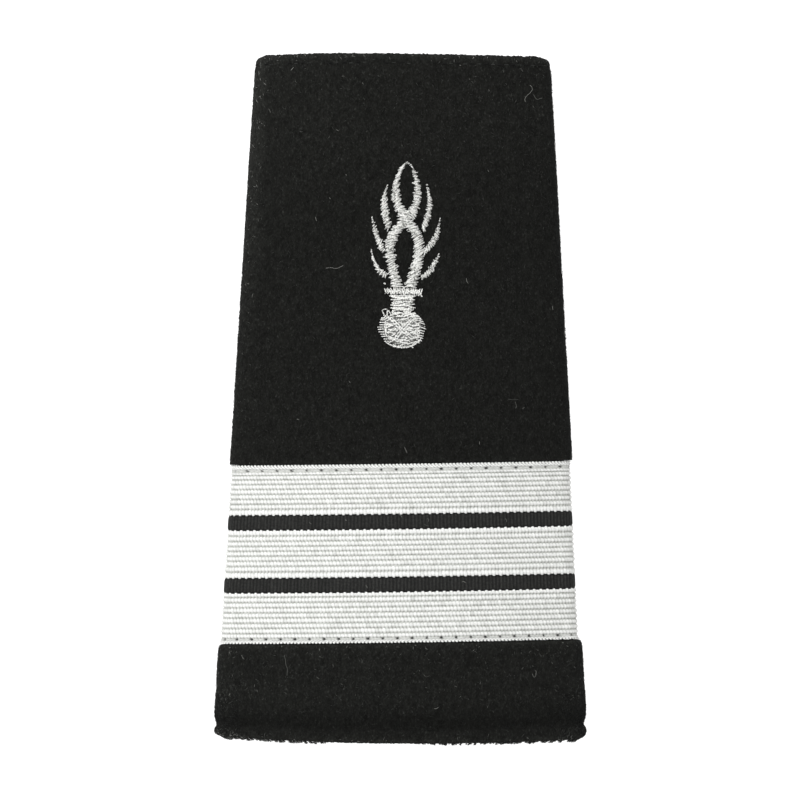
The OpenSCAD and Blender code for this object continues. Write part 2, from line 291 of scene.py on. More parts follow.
def ring(along, sides, flat=1.0):
    """Directions round lines that run along the given ones, one for each side of a tube. flat is
    the share of the height left."""
    along = along / (np.linalg.norm(along, axis=-1)[..., None] + 1e-12)
    across = np.cross(along, [0.03, 0.05, 1.0])
    across /= np.linalg.norm(across, axis=-1)[..., None] + 1e-12
    up = np.cross(across, along) * flat
    turn = 2 * math.pi * np.arange(sides)[:, None] / sides
    return np.cos(turn) * across[..., None, :] + np.sin(turn) * up[..., None, :]


def tubes(paths, radii, sides, flat=1.0):
    """Closed tubes along paths, tubes x points x 3: vertices and faces."""
    n, k = paths.shape[:2]
    radii = np.broadcast_to(radii, (n, k))[:, :, None, None]
    verts = paths[:, :, None] + radii * ring(np.gradient(paths, axis=1), sides, flat)
    starts = np.arange(n)[:, None, None] * k * sides
    walls = grid_faces(k, sides)[:, ::-1]
    caps = np.stack([np.arange(sides), (k - 1) * sides + np.arange(sides)[::-1]])
    return verts.reshape(-1, 3), [(walls + starts).reshape(-1, 4), (caps + starts).reshape(-1, sides)]


def spindles(points, radius):
    """Closed fibres with six faces, each through three points: pointed at both ends, and widest in
    the middle."""
    belly = points[:, 1:2] + radius[:, None, None] * ring(points[:, 2] - points[:, 0], 3)
    verts = np.concatenate([points[:, :1], belly, points[:, 2:]], 1)
    one = np.array([[0, 1, 2], [0, 2, 3], [0, 3, 1], [4, 2, 1], [4, 3, 2], [4, 1, 3]])
    starts = np.arange(len(verts))[:, None, None] * verts.shape[1]
    return verts.reshape(-1, 3), [(one + starts).reshape(-1, 3)]


# Materials

class Nodes:
    """Builds a material's nodes with short calls."""

    def __init__(self, name):
        self.material = bpy.data.materials.new(name)
        self.material.use_nodes = True
        self.tree = self.material.node_tree
        self.shader = self.tree.nodes["Principled BSDF"]

    def feed(self, node, inputs):
        """Links a node's sockets to other nodes' outputs, or gives them values."""
        for key, value in inputs.items():
            if isinstance(value, bpy.types.NodeSocket):
                self.tree.links.new(value, node.inputs[key])
            else:
                node.inputs[key].default_value = value

    def add(self, kind, inputs, output, **settings):
        node = self.tree.nodes.new(kind)
        for key, value in settings.items():
            setattr(node, key, value)
        self.feed(node, inputs)
        return node.outputs[output]

    def ramp(self, factor, *stops):
        """Colours over a factor. Each stop is a place and a grey or a colour."""
        color = self.add("ShaderNodeValToRGB", {"Fac": factor}, "Color")
        elements = color.node.color_ramp.elements
        while len(elements) < len(stops):
            elements.new(0.5)
        for element, (at, tint) in zip(elements, stops):
            element.position = at
            element.color = (*tint, 1) if isinstance(tint, tuple) else (tint, tint, tint, 1)
        return color

    def noise(self, vector, scale, detail, roughness, distortion):
        return self.add("ShaderNodeTexNoise", {
            "Vector": vector, "Scale": scale, "Detail": detail, "Roughness": roughness,
            "Distortion": distortion}, "Fac")

    def attribute(self, name):
        return self.add("ShaderNodeAttribute", {}, "Fac", attribute_name=name)

    def mix(self, factor, a, b, blend="MIX"):
        return self.add("ShaderNodeMix", {0: factor, 6: a, 7: b}, 2, data_type="RGBA",
                        blend_type=blend)

    def multiply(self, a, b):
        return self.mix(1.0, a, b, "MULTIPLY")

    def bump(self, height, strength, distance):
        inputs = {"Height": height, "Strength": strength, "Distance": distance}
        return self.add("ShaderNodeBump", inputs, "Normal")

    def position(self):
        return self.add("ShaderNodeTexCoord", {}, "Object")

    def finish(self, **inputs):
        """The material, with its shader fed: the sockets' names are written in small letters."""
        self.feed(self.shader, {key.replace("_", " ").title().replace("Ior", "IOR"): value
                                for key, value in inputs.items()})
        return self.material


def felt_material():
    """Black wool felt. The attribute shade darkens or lightens it with painted light and shade."""
    n = Nodes("felt")
    at = n.add("ShaderNodeMapping", {"Vector": n.position(), "Scale": (1.0, 0.62, 1.0)}, 0)
    fine = n.noise(at, 4000.0, 2.0, 0.7, 0.3)
    patches = n.noise(at, 1400.0, 3.0, 0.6, 0.6)
    color = n.ramp(fine, (0.36, (0.0084, 0.0085, 0.0076)), (0.52, (0.0124, 0.0127, 0.0115)),
                   (0.64, (0.0175, 0.0181, 0.0166)), (0.75, (0.044, 0.045, 0.0415)))
    color = n.multiply(color, n.ramp(patches, (0.36, 0.7), (0.5, 0.95), (0.64, 1.14)))
    return n.finish(base_color=n.multiply(color, n.attribute("shade")), roughness=0.95,
                    specular_ior_level=0.03, sheen_weight=0.02, sheen_roughness=0.6,
                    normal=n.bump(fine, 0.8, 0.00012))


def nap_material():
    """Single wool fibres. Their tone is drawn for each."""
    n = Nodes("nap")
    color = n.ramp(n.attribute("tone"), (0.0, (0.006, 0.0061, 0.0056)),
                   (0.5, (0.0136, 0.0143, 0.0134)), (0.8, (0.064, 0.067, 0.062)),
                   (1.0, (0.32, 0.323, 0.3)))
    return n.finish(base_color=color, roughness=0.9, specular_ior_level=0.12, sheen_weight=0.03)


def ribbon_material(name, light, dark, roughness, sheen, low):
    """Ribbed weave. Its dark colour is painted shade down between the ribs: an attribute mixes it in,
    0 on the ribs and 1 between them, and hole is 1 in the needle holes, painted near black as their
    shade. low is how dark the threads' fine unevenness gets."""
    n = Nodes(name)
    thread = n.noise(n.position(), 4200.0, 2.0, 0.6, 0.4)
    color = n.mix(n.attribute("deep"), light, dark)
    # The needle holes are painted near black, as the shade in them
    color = n.mix(n.attribute("hole"), color, (0.012, 0.012, 0.011, 1))
    color = n.multiply(color, n.ramp(thread, (0.36, low), (0.6, 1.0)))
    return n.finish(base_color=color, roughness=roughness, specular_ior_level=0.3, sheen_weight=sheen,
                    normal=n.bump(thread, 0.5, 0.00005))


def thread_material():
    """Silver embroidery thread. Its tone is drawn along each thread, with painted highlights and shade,
    and is low in the padding, as painted shade between the threads.
    """
    n = Nodes("silver_thread")
    twist = n.noise(n.position(), 5200.0, 2.0, 0.6, 0.5)
    color = n.ramp(n.attribute("tone"), (0.0, (0.012, 0.012, 0.011)), (0.15, (0.07, 0.0715, 0.065)),
                   (0.4, (0.43, 0.437, 0.4)), (0.7, (0.93, 0.937, 0.895)), (1.0, (1.0, 1.0, 0.97)))
    # Noise darkens the thread in patches, as painted shade of its twist
    color = n.multiply(color, n.ramp(twist, (0.34, 0.62), (0.5, 1.0)))
    return n.finish(base_color=color, roughness=0.32, specular_ior_level=1.0, sheen_weight=0.45,
                    normal=n.bump(twist, 0.6, 0.00005))


FELT = felt_material()
NAP = nap_material()
SILVER = thread_material()
# Each ribbon's dark colour is painted shade down between its ribs
WHITE = ribbon_material("white_ribbon", (0.945, 0.95, 0.93, 1), (0.27, 0.28, 0.248, 1),
                        roughness=0.7, sheen=0.1, low=0.84)
BLACK = ribbon_material("black_ribbon", (0.034, 0.0344, 0.032, 1), (0.0025, 0.0025, 0.0022, 1),
                        roughness=0.8, sheen=0.02, low=0.3)


# The felt

def felt_shade(y, share, side):
    """How light the felt is: painted light along the narrow end's and the hem's edges, on the left fold
    and beside the ribbon, painted shade in the groove above the hem's lip and on the right fold,
    and darker on the upper felt towards the ribbon.
    """
    # worn: darker on the upper felt towards the ribbon
    worn = 1 - 0.15 * smooth((50 * MM - y) / (26 * MM)) * smooth((y - RIBBON_LO) / (8 * MM))
    # Painted shade in the groove above the hem's lip
    pressed = 1 - 0.34 * groove(y - HEM_Y - LIP_H - 0.7 * MM, 1 * MM, 2.3 * MM)
    # Painted light along the narrow end's edge, and along the hem's edge
    top = 0.2 * smooth((y - TOP_Y + 1.5 * MM) / (0.5 * MM))
    top = top + 0.35 * smooth((y - TOP_Y + MM) / (0.8 * MM))
    hem = 0.35 * smooth((HEM_Y + 0.9 * MM - y) / (0.7 * MM))
    # Painted light on the felt that swells beside the ribbon
    below, above = np.maximum(RIBBON_LO - y, 0), np.maximum(y - RIBBON_HI, 0)
    swell = 0.65 * np.exp(-below / (0.55 * MM)) * (y < RIBBON_LO)
    swell = swell + 0.35 * np.exp(-above / (0.3 * MM)) * (y > RIBBON_HI)
    # Painted light on the left fold, stronger higher up, and painted shade on the right fold
    left = (side < 0) * (0.12 + 0.4 * smooth((y - 2 * MM) / (26 * MM)))
    left = left * smooth((share - 0.88) / 0.12)
    right = (side > 0) * -0.15 * smooth((share - 1.05) / 0.12)
    return worn * pressed * (1 + top + hem + left + right + swell)


def felt_sleeve():
    """The felt as one closed skin: outside, cut edges and inside, folded round to the back seam."""
    # columns: over the face, the fold and the back on the right, then again on the left
    back = 2 + 0.998 * np.linspace(0, 1, 37)[1:] ** 0.85
    shares = np.concatenate([np.linspace(0, 1, 63), np.linspace(1, 2, 17)[1:], back])
    side = np.repeat([1, -1], [len(shares), len(shares) - 1])
    share = np.concatenate([shares, shares[:0:-1]])
    # rows: the outside from the hem up, the narrow end's edge, the inside down, the hem's edge
    hem = HEM_Y + np.concatenate([[0, 0.04, 0.12, 0.25, 0.4], np.arange(0.65, 4.3, 0.25)]) * MM
    pitch = 0.42 * MM
    band = np.arange(hem[-1] + pitch, RIBBON_LO - SWELL_H, pitch)
    swell = np.arange(RIBBON_LO - SWELL_H, RIBBON_LO, 0.2 * MM)
    pressed = np.linspace(RIBBON_LO + MM, RIBBON_HI - MM, 8)
    steps = RIBBON_HI + np.array([-0.02, 0.03, 0.15]) * MM
    plain = np.arange(RIBBON_HI + 0.4 * MM, TOP_Y - 2.6 * MM, pitch)
    top = TOP_Y - np.concatenate([np.arange(2.4, 0.5, -0.2), [0.4, 0.25, 0.12, 0.04, 0]]) * MM
    y_out = np.concatenate([hem, band, swell, [RIBBON_LO], pressed, steps, plain, top])
    edge = np.linspace(EDGE_ROUND, FELT_T - EDGE_ROUND, 6)[1:]
    y_in = np.linspace(TOP_Y, HEM_Y, 14)
    y = np.concatenate([y_out, np.full(len(edge), TOP_Y), y_in, np.full(len(edge), HEM_Y)])[:, None]
    depth = np.concatenate([felt_depth(y_out), edge, np.full(len(y_in), FELT_T), edge[::-1]])[:, None]
    from_seam = (3 - share) * side_lengths(0.0, 1)[2]
    seam = np.clip(1 - from_seam / (SEAM_W / 2), 0, 1)
    row = np.arange(len(y))
    depth = depth + (row < len(y_out))[:, None] * SEAM_SINK * seam * seam
    flat = place(y, side, share, depth)
    lumps = sum(waves(flat, long * MM, seed) * high * MM
                for seed, long, high in ((1, 1.1, 0.022), (2, 2.4, 0.03), (3, 9, 0.03)))
    points = place(y, side, share, depth - lumps)
    cut = (row >= len(y_out)) & (row < len(y_out) + len(edge)) | (row >= len(row) - len(edge))
    points[cut, :, 1] += waves(flat[cut], 0.9 * MM, 4) * 0.06 * MM
    faces = grid_faces(*points.shape[:2], close_rows=True)
    return new_piece("felt", points, [faces], "black_felt", FELT, ["felt_sleeve"],
                     shade=felt_shade(y, share, side))


def nap(name, count, y_range, share_range, length, radius, lift, light=0.15):
    """Single fibres that lie on the felt, curled, with their tips a little off it. length, radius
    and lift are in mm, and light is the share of fibres that are paler than the felt."""
    y = rng.uniform(*y_range, count)
    side = rng.choice([-1, 1], count)
    start = rng.uniform(*share_range, count) * sum(side_lengths(0.0, 1))
    heading = rng.choice([-1, 1], count) * math.pi / 2 + rng.normal(0, 0.85, count)
    angles = heading + rng.normal(0, 0.6, count) * np.array([[0], [1]])
    step = rng.uniform(*length, count) * MM / 2
    ys = (y + step * np.cumsum([0 * heading, *np.sin(angles)], 0)).T
    along = (start + step * np.cumsum([0 * heading, *np.cos(angles)], 0)).T
    side = np.where(along < 0, -side[:, None], side[:, None])
    ys = np.clip(ys, HEM_Y + 0.02 * MM, TOP_Y - 0.02 * MM)
    share = np.minimum(share_along(ys, side, np.abs(along)), 2.99)
    rise = rng.uniform(*lift, count)[:, None] * MM * np.array([0.1, 0.4, 1])
    keep = (under_ribbon(ys) < 0.2).all(1)
    paths = place(ys, side, share, felt_depth(ys) - rise - 0.02 * MM)[keep]
    mesh = spindles(paths, rng.uniform(*radius, count)[keep] * MM)
    pale = 0.62 + 0.36 * rng.beta(1.2, 3.0, count)
    tones = np.where(rng.random(count) < light, pale, rng.uniform(0.1, 0.5, count))
    # The fibres take the felt's painted light and shade
    tones = tones * felt_shade(y, share[:, 0], side[:, 0])
    return new_piece(name, *mesh, "black_felt", NAP, tone=tones[keep])


def edge_fuzz(name, tufts, end, out, ragged):
    """Tufts of short fibres that stand out from the cut edge at one end of the sleeve. out is 1 or
    -1, up or down, and ragged gives how far they reach, from 0 to 1, at a side and share."""
    each = 15
    count = tufts * each
    side = np.repeat(rng.choice([-1, 1], tufts), each)[:, None]
    centre = np.where(rng.random(tufts) < 0.85,
                      rng.uniform(0, 1.2, tufts), rng.uniform(1.2, 2.95, tufts))
    share = np.repeat(centre, each) + rng.normal(0, 0.05 * MM / side_lengths(end, 1)[0], count)
    share = np.clip(share, 0, 2.98)[:, None]
    tall = np.repeat(rng.uniform(0.15, 1, tufts), each)[:, None] * rng.uniform(0.6, 1, (count, 1))
    worn = ragged(side, share)
    root = out * 0.15 * MM
    reach = (0.03 + (0.06 + 0.4 * worn) * tall) * MM * out
    y = end - root + (reach + root) * np.array([0, 0.72, 1.0])
    points = place(y, side, share, rng.uniform(0.0, 0.8, (count, 1)) ** 1.3 * MM)
    lean = rng.normal(0, 0.3, (count, 2)) * np.abs(reach)
    points[:, :, [0, 2]] += lean[:, None] * np.array([0, 0.4, 1.0])[:, None]
    mesh = spindles(points, rng.uniform(0.03, 0.05, count) * MM)
    tones = rng.beta(1.3, 1.3, count) * (0.75 + 0.3 * worn[:, 0])
    return new_piece(name, *mesh, "black_felt", NAP, tone=tones)


def hem_ragged(side, share):
    """The hem's outline is frayed near its left corner and all along its right part."""
    right = smooth((share - 0.06) / 0.2) * (0.75 + 0.25 * share)
    return np.where(side < 0, smooth((share - 0.36) / 0.14), right)


def top_ragged(side, share):
    """The narrow end's outline is clean, apart from its corners."""
    return 0.12 + 0.3 * smooth((share - 0.85) / 0.15)


def arc(u):
    """A stitch's rise, from 0 at its ends to 1 in the middle."""
    return (4 * u * (1 - u)) ** 0.5


def stitch_row(name, starts, length, line, radius, tone, sink=0.9):
    """Machine stitches, each a short thread whose ends dive into the felt, at one y. starts are
    distances from the crown, positive to the right, and sink is how far they lie in, in radii."""
    u = np.linspace(0, 1, 6)
    along = starts[:, None] + length * u
    y = np.full(along.shape, line) + rng.normal(0, 0.04 * MM, (len(starts), 1))
    side, share = wrap(y, along)
    rise = arc(u) * radius * 1.7 - radius * sink
    mesh = tubes(place(y, side, np.minimum(share, 2.985), felt_depth(y) - rise), radius, 6)
    tones = np.clip(tone + rng.normal(0, 0.06, along.shape), 0, 1)
    return new_piece(name, *mesh, "black_felt", NAP, tone=tones)


def row_starts(y, pitch):
    """Where a row's stitches start, from seam to seam."""
    reach = 0.985 * sum(side_lengths(y, 1))
    return np.arange(-reach, reach - 2 * MM, pitch)


def loose_fibres():
    """The longer pale fibres and specks that lie loose on the felt: a tone, and points of x and y
    in mm."""
    rows = [
        (0.95, [(19.7, 47.4), (20.0, 47.1), (20.1, 46.7), (19.6, 46.1), (19.1, 45.7), (18.9, 45.2),
                (19.0, 44.8)]),
        (0.85, [(20.2, 46.0), (20.5, 45.5), (20.8, 45.2), (21.2, 45.4), (21.6, 45.5)]),
        (0.93, [(-11.1, 19.6), (-10.3, 19.7), (-9.6, 19.5), (-9.0, 19.7), (-8.5, 20.0)]),
        (0.93, [(0.7, -7.3), (0.9, -7.7), (1.1, -8.2)]),
        (1.0, [(-16.4, 49.5), (-16.0, 49.9)]),
        (0.93, [(23.1, 14.0), (23.2, 13.4)]),
        (0.93, [(10.0, 18.1), (10.1, 17.6), (10.3, 17.3)]),
        (0.93, [(5.2, -46.6), (5.5, -46.6), (5.8, -46.4)]),
        (0.93, [(-12.7, 27.3), (-12.5, 26.7)]),
        (0.86, [(-19.8, 43.8), (-19.5, 43.2)]),
        (0.9, [(20.0, -41.5), (20.2, -42.1), (20.5, -41.9), (20.6, -41.2), (20.4, -41.0)]),
        (0.95, [(-20.6, 47.8), (-20.2, 47.4)]),
        (0.93, [(-23.9, -38.8), (-23.7, -39.3)]),
        (1.0, [(9.0, 50.2), (9.2, 50.1)]),
        (0.85, [(8.2, -43.2), (8.6, -43.3)]),
        (0.93, [(-7.6, 2.6), (-7.4, 2.3)]),
        (0.93, [(-9.5, 40.4), (-9.2, 40.2)]),
        (0.93, [(-15.5, -3.1), (-15.2, -3.2)]),
        (0.84, [(-17.4, -38.7), (-17.2, -39.4), (-17.2, -40.1), (-16.9, -40.7), (-17.0, -41.8)]),
        (0.8, [(16.3, -0.1), (17.0, -0.2), (17.9, -0.15)]),
        (0.84, [(17.4, -0.5), (17.6, -1.1), (17.5, -1.5)]),
        (0.86, [(18.5, -1.6), (18.8, -1.3)]),
        (0.86, [(26.4, -40.6), (26.6, -40.8)]),
        (0.93, [(13.3, 34.4), (13.4, 34.2)]),
        (0.93, [(12.0, -6.5), (12.0, -6.9)]),
        (0.92, [(-8.1, 33.7), (-8.0, 33.5)]),
        (0.92, [(-10.6, 30.2), (-10.4, 30.0)]),
    ]
    xy = np.array([even_points(np.array(row) * MM, 9) for _, row in rows])
    mesh = tubes(on_felt(xy, 0.05 * MM - felt_depth(xy[..., 1])), 0.03 * MM, 4)
    return new_piece("loose_fibres", *mesh, "black_felt", NAP, tone=[tone for tone, _ in rows])


felt = felt_sleeve()
# The face's nap: its lengths, radii and lifts in mm
FINE = (0.16, 0.85), (0.022, 0.05), (0, 0.07)
felt_pieces = [
    nap("nap_face_lower", 7000, (HEM_Y, RIBBON_LO), (0, 0.56), *FINE),
    nap("nap_face_upper_1", 8400, (RIBBON_HI, 20 * MM), (0, 0.56), *FINE),
    nap("nap_face_upper_2", 8400, (20 * MM, TOP_Y), (0, 0.56), *FINE),
    nap("nap_sides", 6000, (HEM_Y, TOP_Y), (0.44, 0.6), (0.2, 0.6), (0.026, 0.045),
        (0.02, 0.12), 0.2),
    nap("nap_hem_corners", 2600, (HEM_Y, HEM_Y + 7 * MM), (0.46, 0.62), (0.25, 0.6), (0.026, 0.05),
        (0.02, 0.18), 0.3),
    nap("nap_back", 4500, (HEM_Y, TOP_Y), (0.6, 1.0), (0.4, 1.1), (0.03, 0.05), (0, 0.05)),
    edge_fuzz("hem_fuzz", 380, HEM_Y, -1, hem_ragged),
    edge_fuzz("top_fuzz", 200, TOP_Y, 1, top_ragged),
    loose_fibres(),
]

# The machine stitches along the narrow end and along the hem, sunk into the nap
top_row = row_starts(TOP_Y - 2 * MM, 2.16 * MM)
top_row = top_row[rng.random(len(top_row)) < 0.8] + rng.normal(0, 0.1 * MM)
hem_row = row_starts(HEM_Y + 3 * MM, 2.4 * MM)
felt_pieces += [
    # The top row's needle holes are thick dark threads sunk into the felt: painted shade in the holes
    stitch_row("top_needle_hole_shade", top_row, 0.85 * MM, TOP_LINE, 0.13 * MM, 0.0, 1.1),
    stitch_row("top_stitches", top_row + 1.2 * MM, 0.7 * MM, TOP_LINE, 0.06 * MM, 0.62),
    stitch_row("hem_stitches", hem_row, 1.9 * MM, HEM_Y + LIP_H, 0.1 * MM, 0.0, 1.75),
]


# The weave of the ribbon

BUMP_PITCH = 0.5405 * MM
TOOTH = 0.21 * MM
TOOTH_BACK = 0.09 * MM
FURROW_DEPTH = 0.3 * MM
FOOT_IN = 0.3 * MM
SEAM_GAP = 0.3 * MM
SEWN_DEPTH = 0.2 * MM
HOLE_R = 0.185 * MM
HOLE_DEPTH = 0.45 * MM
# More than the bumps round the sleeve, each with a light of its own
BUMPS = 300

# Each bar's furrows between its ribs, as distances from its lower edge in mm. The first and the
# last are its edges. sewn is the rib with the machine stitches, holes their pitch in mm and their
# start, and selvedge the ribs outside it. The edges beside a black stripe end in teeth.
BARS = {
    1: dict(furrows=[0, 0.25, 0.496, 0.8, 1.517, 2.298, 3.079, 3.875, 4.641, 5.407, 6.188, 6.984,
                     7.615],
            sewn=2, holes=(2.21, 0.64), selvedge=[0, 1]),
    2: dict(furrows=[0, 0.9, 1.742, 2.531, 3.282, 4.01, 4.746, 5.512, 6.308, 7.149],
            sewn=None, holes=None, selvedge=[]),
    3: dict(furrows=[0, 0.886, 1.637, 2.388, 3.124, 3.875, 4.611, 5.317, 5.993, 6.458, 6.909, 7.25,
                     7.555],
            sewn=9, holes=(2.28, 0.72), selvedge=[10, 11]),
}
# Places of the grid's lines inside one bump, across one rib, inside one bump of a black stripe,
# and across the stripe
BUMP_LINES = [0, 0.12, 0.33, 0.67, 0.88]
RIB_LINES = [0, 0.14, 0.34, 0.66, 0.86]
STRIPE_LINES = [0, 0.15, 0.35, 0.5, 0.65, 0.85]
STRIPE_ROWS = [-0.035, 0.02, 0.06, 0.12, 0.2, 0.3, 0.42, 0.58, 0.7, 0.8, 0.88, 0.94, 0.98, 1.035]


def bar_lo(number):
    """A white bar's lower edge, from the ribbon's own. The outer bars take in their selvedge."""
    return 0 if number == 1 else SELVEDGE_W + (number - 1) * (BAR_W + STRIPE_W)


def sewn_row(number):
    """The machine stitches' distance from the bar's lower edge, their pitch and their start."""
    bar = BARS[number]
    middle = (bar["furrows"][bar["sewn"]] + bar["furrows"][bar["sewn"] + 1]) / 2
    return middle * MM, bar["holes"][0] * MM, bar["holes"][1]


def straight(y, along):
    """The x of places round the sleeve, carried on round the fold beyond the face."""
    side = np.where(along < 0, -1, 1)
    near = np.minimum(np.abs(along), side_lengths(y, side)[0])
    on_face = place(y, side, share_along(y, side, near), 0)[..., 0]
    return on_face + side * (np.abs(along) - near)


def ribbon_strip(name, node, lo, hi, t, lines, shift, surface, thickness, material, slot):
    """One woven strip from seam to seam round the sleeve, its face a field of heights over a grid.

    t are the rows' distances from the strip's lower edge lo, and lines the columns' places inside
    each bump, of which the back has every second one. shift moves each row's columns sideways.
    """
    y_mid = RIBBON_LO + (lo + hi) / 2
    end_left, end_right = (sum(side_lengths(y_mid, side)) - SEAM_GAP for side in (-1, 1))
    first, last = -math.floor(end_left / BUMP_PITCH) - 1, math.ceil(end_right / BUMP_PITCH)
    columns = (np.arange(first, last)[:, None] + np.array(lines)) * BUMP_PITCH
    front = min(sum(side_lengths(y_mid, side)[:2]) for side in (-1, 1))
    columns = columns[(np.abs(columns) < front) | (np.arange(len(lines)) % 2 == 0)]
    inside = columns[(columns > -end_left + 0.05 * MM) & (columns < end_right - 0.05 * MM)]
    along = np.concatenate([[-end_left], inside, [end_right]])[:, None]
    along = along + shift * smooth((along + end_left) / MM) * smooth((end_right - along) / MM)
    height, tones, bulge = surface(along, t)

    def lay(y, along, depth):
        return place(RIBBON_LO + lo + y, *wrap(y_mid, along), PRESS_DEPTH - SEAT - depth)
    top = lay(t + bulge, along, thickness + height)
    foot = lay(np.array([[hi - lo - FOOT_IN, FOOT_IN]]), along[:, [-1, 0]], 0)
    points = np.concatenate([top, foot], 1)
    count, across = points.shape[:2]
    # The two foot rows down the strip's edges get 1 in every value: painted near black, as the shade
    # under the edges
    values = {key: np.concatenate([value, np.ones((count, 2))], 1) for key, value in tones.items()}
    ends = np.stack([np.arange(across), (count - 1) * across + np.arange(across)[::-1]])
    return new_piece(name, points, [grid_faces(count, across)[:, ::-1], ends], slot, material, [node],
                     **values)


def white_bar(number):
    """Beaded ribs with furrows between, teeth beside a stripe, sewn rows and selvedges outside."""
    bar, lo = BARS[number], bar_lo(number)
    furrows = np.array(bar["furrows"]) * MM
    ribs = len(furrows) - 1
    # The rows: their rib and their place across it, v from -1 to 1
    rib = np.append(np.repeat(np.arange(ribs), len(RIB_LINES)), ribs - 1)
    part = np.append(np.tile(RIB_LINES, ribs), 1)
    rows = furrows[rib] + part * (furrows[rib + 1] - furrows[rib])
    v = 2 * part - 1
    phase = rng.uniform(-0.1, 0.1, ribs) + 0.5 * (np.arange(ribs) % 2)
    # The selvedge's ribs lean to and fro like a braid
    braid = np.full(ribs, 0.14)
    braid[bar["selvedge"]] = np.where(np.arange(len(bar["selvedge"])) % 2 == 0, 0.5, -0.5)
    # The bar's two edges: the rib, the way out, and if it ends in teeth
    edges = ((0, -1, number > 1), (ribs - 1, 1, number < len(BARS)))
    for edge_rib, way, teeth in edges:
        if teeth:
            phase[edge_rib] = phase[edge_rib - way]
        else:
            braid[edge_rib] = 0.1
    shift = -(phase[rib] + braid[rib] * v) * BUMP_PITCH
    seed = 100 + number
    bead_light = rng.normal(0, 1, (ribs, BUMPS))

    def surface(along, t):
        # q is 0 in the middle of a bump and 1 between two, line the dip there, and edge the furrow
        bump = (along - shift) / BUMP_PITCH
        q = np.abs(2 * (bump % 1) - 1)
        index = np.floor(bump).astype(int)
        line = np.clip((q - 0.62) / 0.38, 0, 1) ** 1.6
        edge = np.clip((np.abs(v) - 0.12) / 0.8, 0, 1) ** 1.6
        spot = np.stack(np.broadcast_arrays(along, t), -1)
        uneven = waves(spot, 0.9 * MM, seed)
        bead = bead_light[rib, index % BUMPS]
        height = -FURROW_DEPTH * edge - 0.09 * MM * line * (0.5 + 0.5 * edge)
        height = height + 0.02 * MM * (uneven + bead)
        # Painted shade in the furrows and in the dips between bumps, a little painted light on the
        # bumps' middles, and random tone
        deep = edge * (0.6 + 0.62 * line) + line * (0.2 + 0.45 * edge) - 0.1 * (1 - q)
        deep = np.clip(deep + 0.05 * uneven + 0.07 * bead, 0, 1)
        bulge = np.zeros(q.shape)
        for edge_rib, way, teeth in edges:
            outwards = way * (rib == edge_rib) * (1 + way * v) / 2
            if teeth:
                length = np.where(index % 2 == 0, 1.0, 0.25)
                out = TOOTH * length * (1 - q ** 2) ** 0.7 - TOOTH_BACK
                tip = (rib == edge_rib) & (way * v > 0)
                # Painted shade in the dips between the teeth
                deep = np.where(tip, 0.3 * line, deep)
                height = np.where(tip, -0.16 * MM * edge - 0.1 * MM * line, height)
            else:
                out = 0.03 * MM * waves(spot, 1.3 * MM, seed + 20)
                out = out + 0.24 * MM * (1 - q ** 2) - 0.2 * MM
            bulge = bulge + outwards * out
        # The needle holes, painted near black as their shade
        hole = np.zeros(q.shape)
        if bar["sewn"] is not None:
            middle, pitch, start = sewn_row(number)
            turn = straight(RIBBON_LO + lo + middle, along) / pitch + start
            wide = 1.2 + 0.3 * np.sin(np.floor(turn) * 2.4)
            far = np.hypot((turn % 1 - 0.5) * pitch / wide, (t - middle) * 1.1)
            hole = np.exp(-(far / HOLE_R) ** 4)
            sewn = rib == bar["sewn"]
            height = np.where(sewn, -SEWN_DEPTH, height) - HOLE_DEPTH * hole
            # The sewn rib is painted grey, as the shade in its groove
            deep = np.where(sewn, 0.5, deep)
            selvedge = np.isin(rib, bar["selvedge"])
            # Painted shade in the gaps between the selvedge's ribs
            gap = np.clip((q - 0.64) / 0.34, 0, 1) ** 1.2
            dark = np.clip(0.1 * edge + 0.95 * gap - 0.08 + 0.08 * bead, 0, 1)
            deep = np.where(selvedge, dark, deep)
            height = np.where(selvedge, -0.08 * MM * edge - 0.16 * MM * gap, height)
        return height, {"deep": deep, "hole": hole}, bulge

    return ribbon_strip(f"white_weave_{number}", f"white_bar_{number}", lo, lo + furrows[-1], rows,
                        BUMP_LINES, shift, surface, BAR_T, WHITE, "white_ribbon")


def black_stripe(number):
    """One row of ribs that run across the stripe and fall away at both its edges."""
    lo = SELVEDGE_W + number * BAR_W + (number - 1) * STRIPE_W
    rows = STRIPE_W * np.array(STRIPE_ROWS)
    rib_light = rng.normal(0, 1, BUMPS)

    def surface(along, t):
        q = np.abs(2 * ((along / BUMP_PITCH) % 1) - 1) + 0 * t
        light = rib_light[np.floor(along / BUMP_PITCH).astype(int) % BUMPS]
        uneven = waves(np.stack(np.broadcast_arrays(along, t), -1), 0.8 * MM, 120 + number)
        furrow = smooth((q - 0.3) / 0.4)
        edge = np.abs(2 * t / STRIPE_W - 1) ** 9
        height = -0.1 * MM * furrow - 0.3 * MM * edge + 0.015 * MM * uneven
        # Painted shade in the furrows and at the stripe's edges, where it falls away, with random tone
        # by rib
        deep = np.clip(0.24 + 0.46 * furrow + 0.9 * edge + 0.07 * uneven - 0.06 * light, 0, 1)
        return height, {"deep": deep, "hole": 0 * deep}, 0 * deep

    return ribbon_strip(f"black_weave_{number}", f"black_stripe_{number}", lo, lo + STRIPE_W, rows,
                        STRIPE_LINES, 0 * rows, surface, STRIPE_T, BLACK, "black_ribbon")


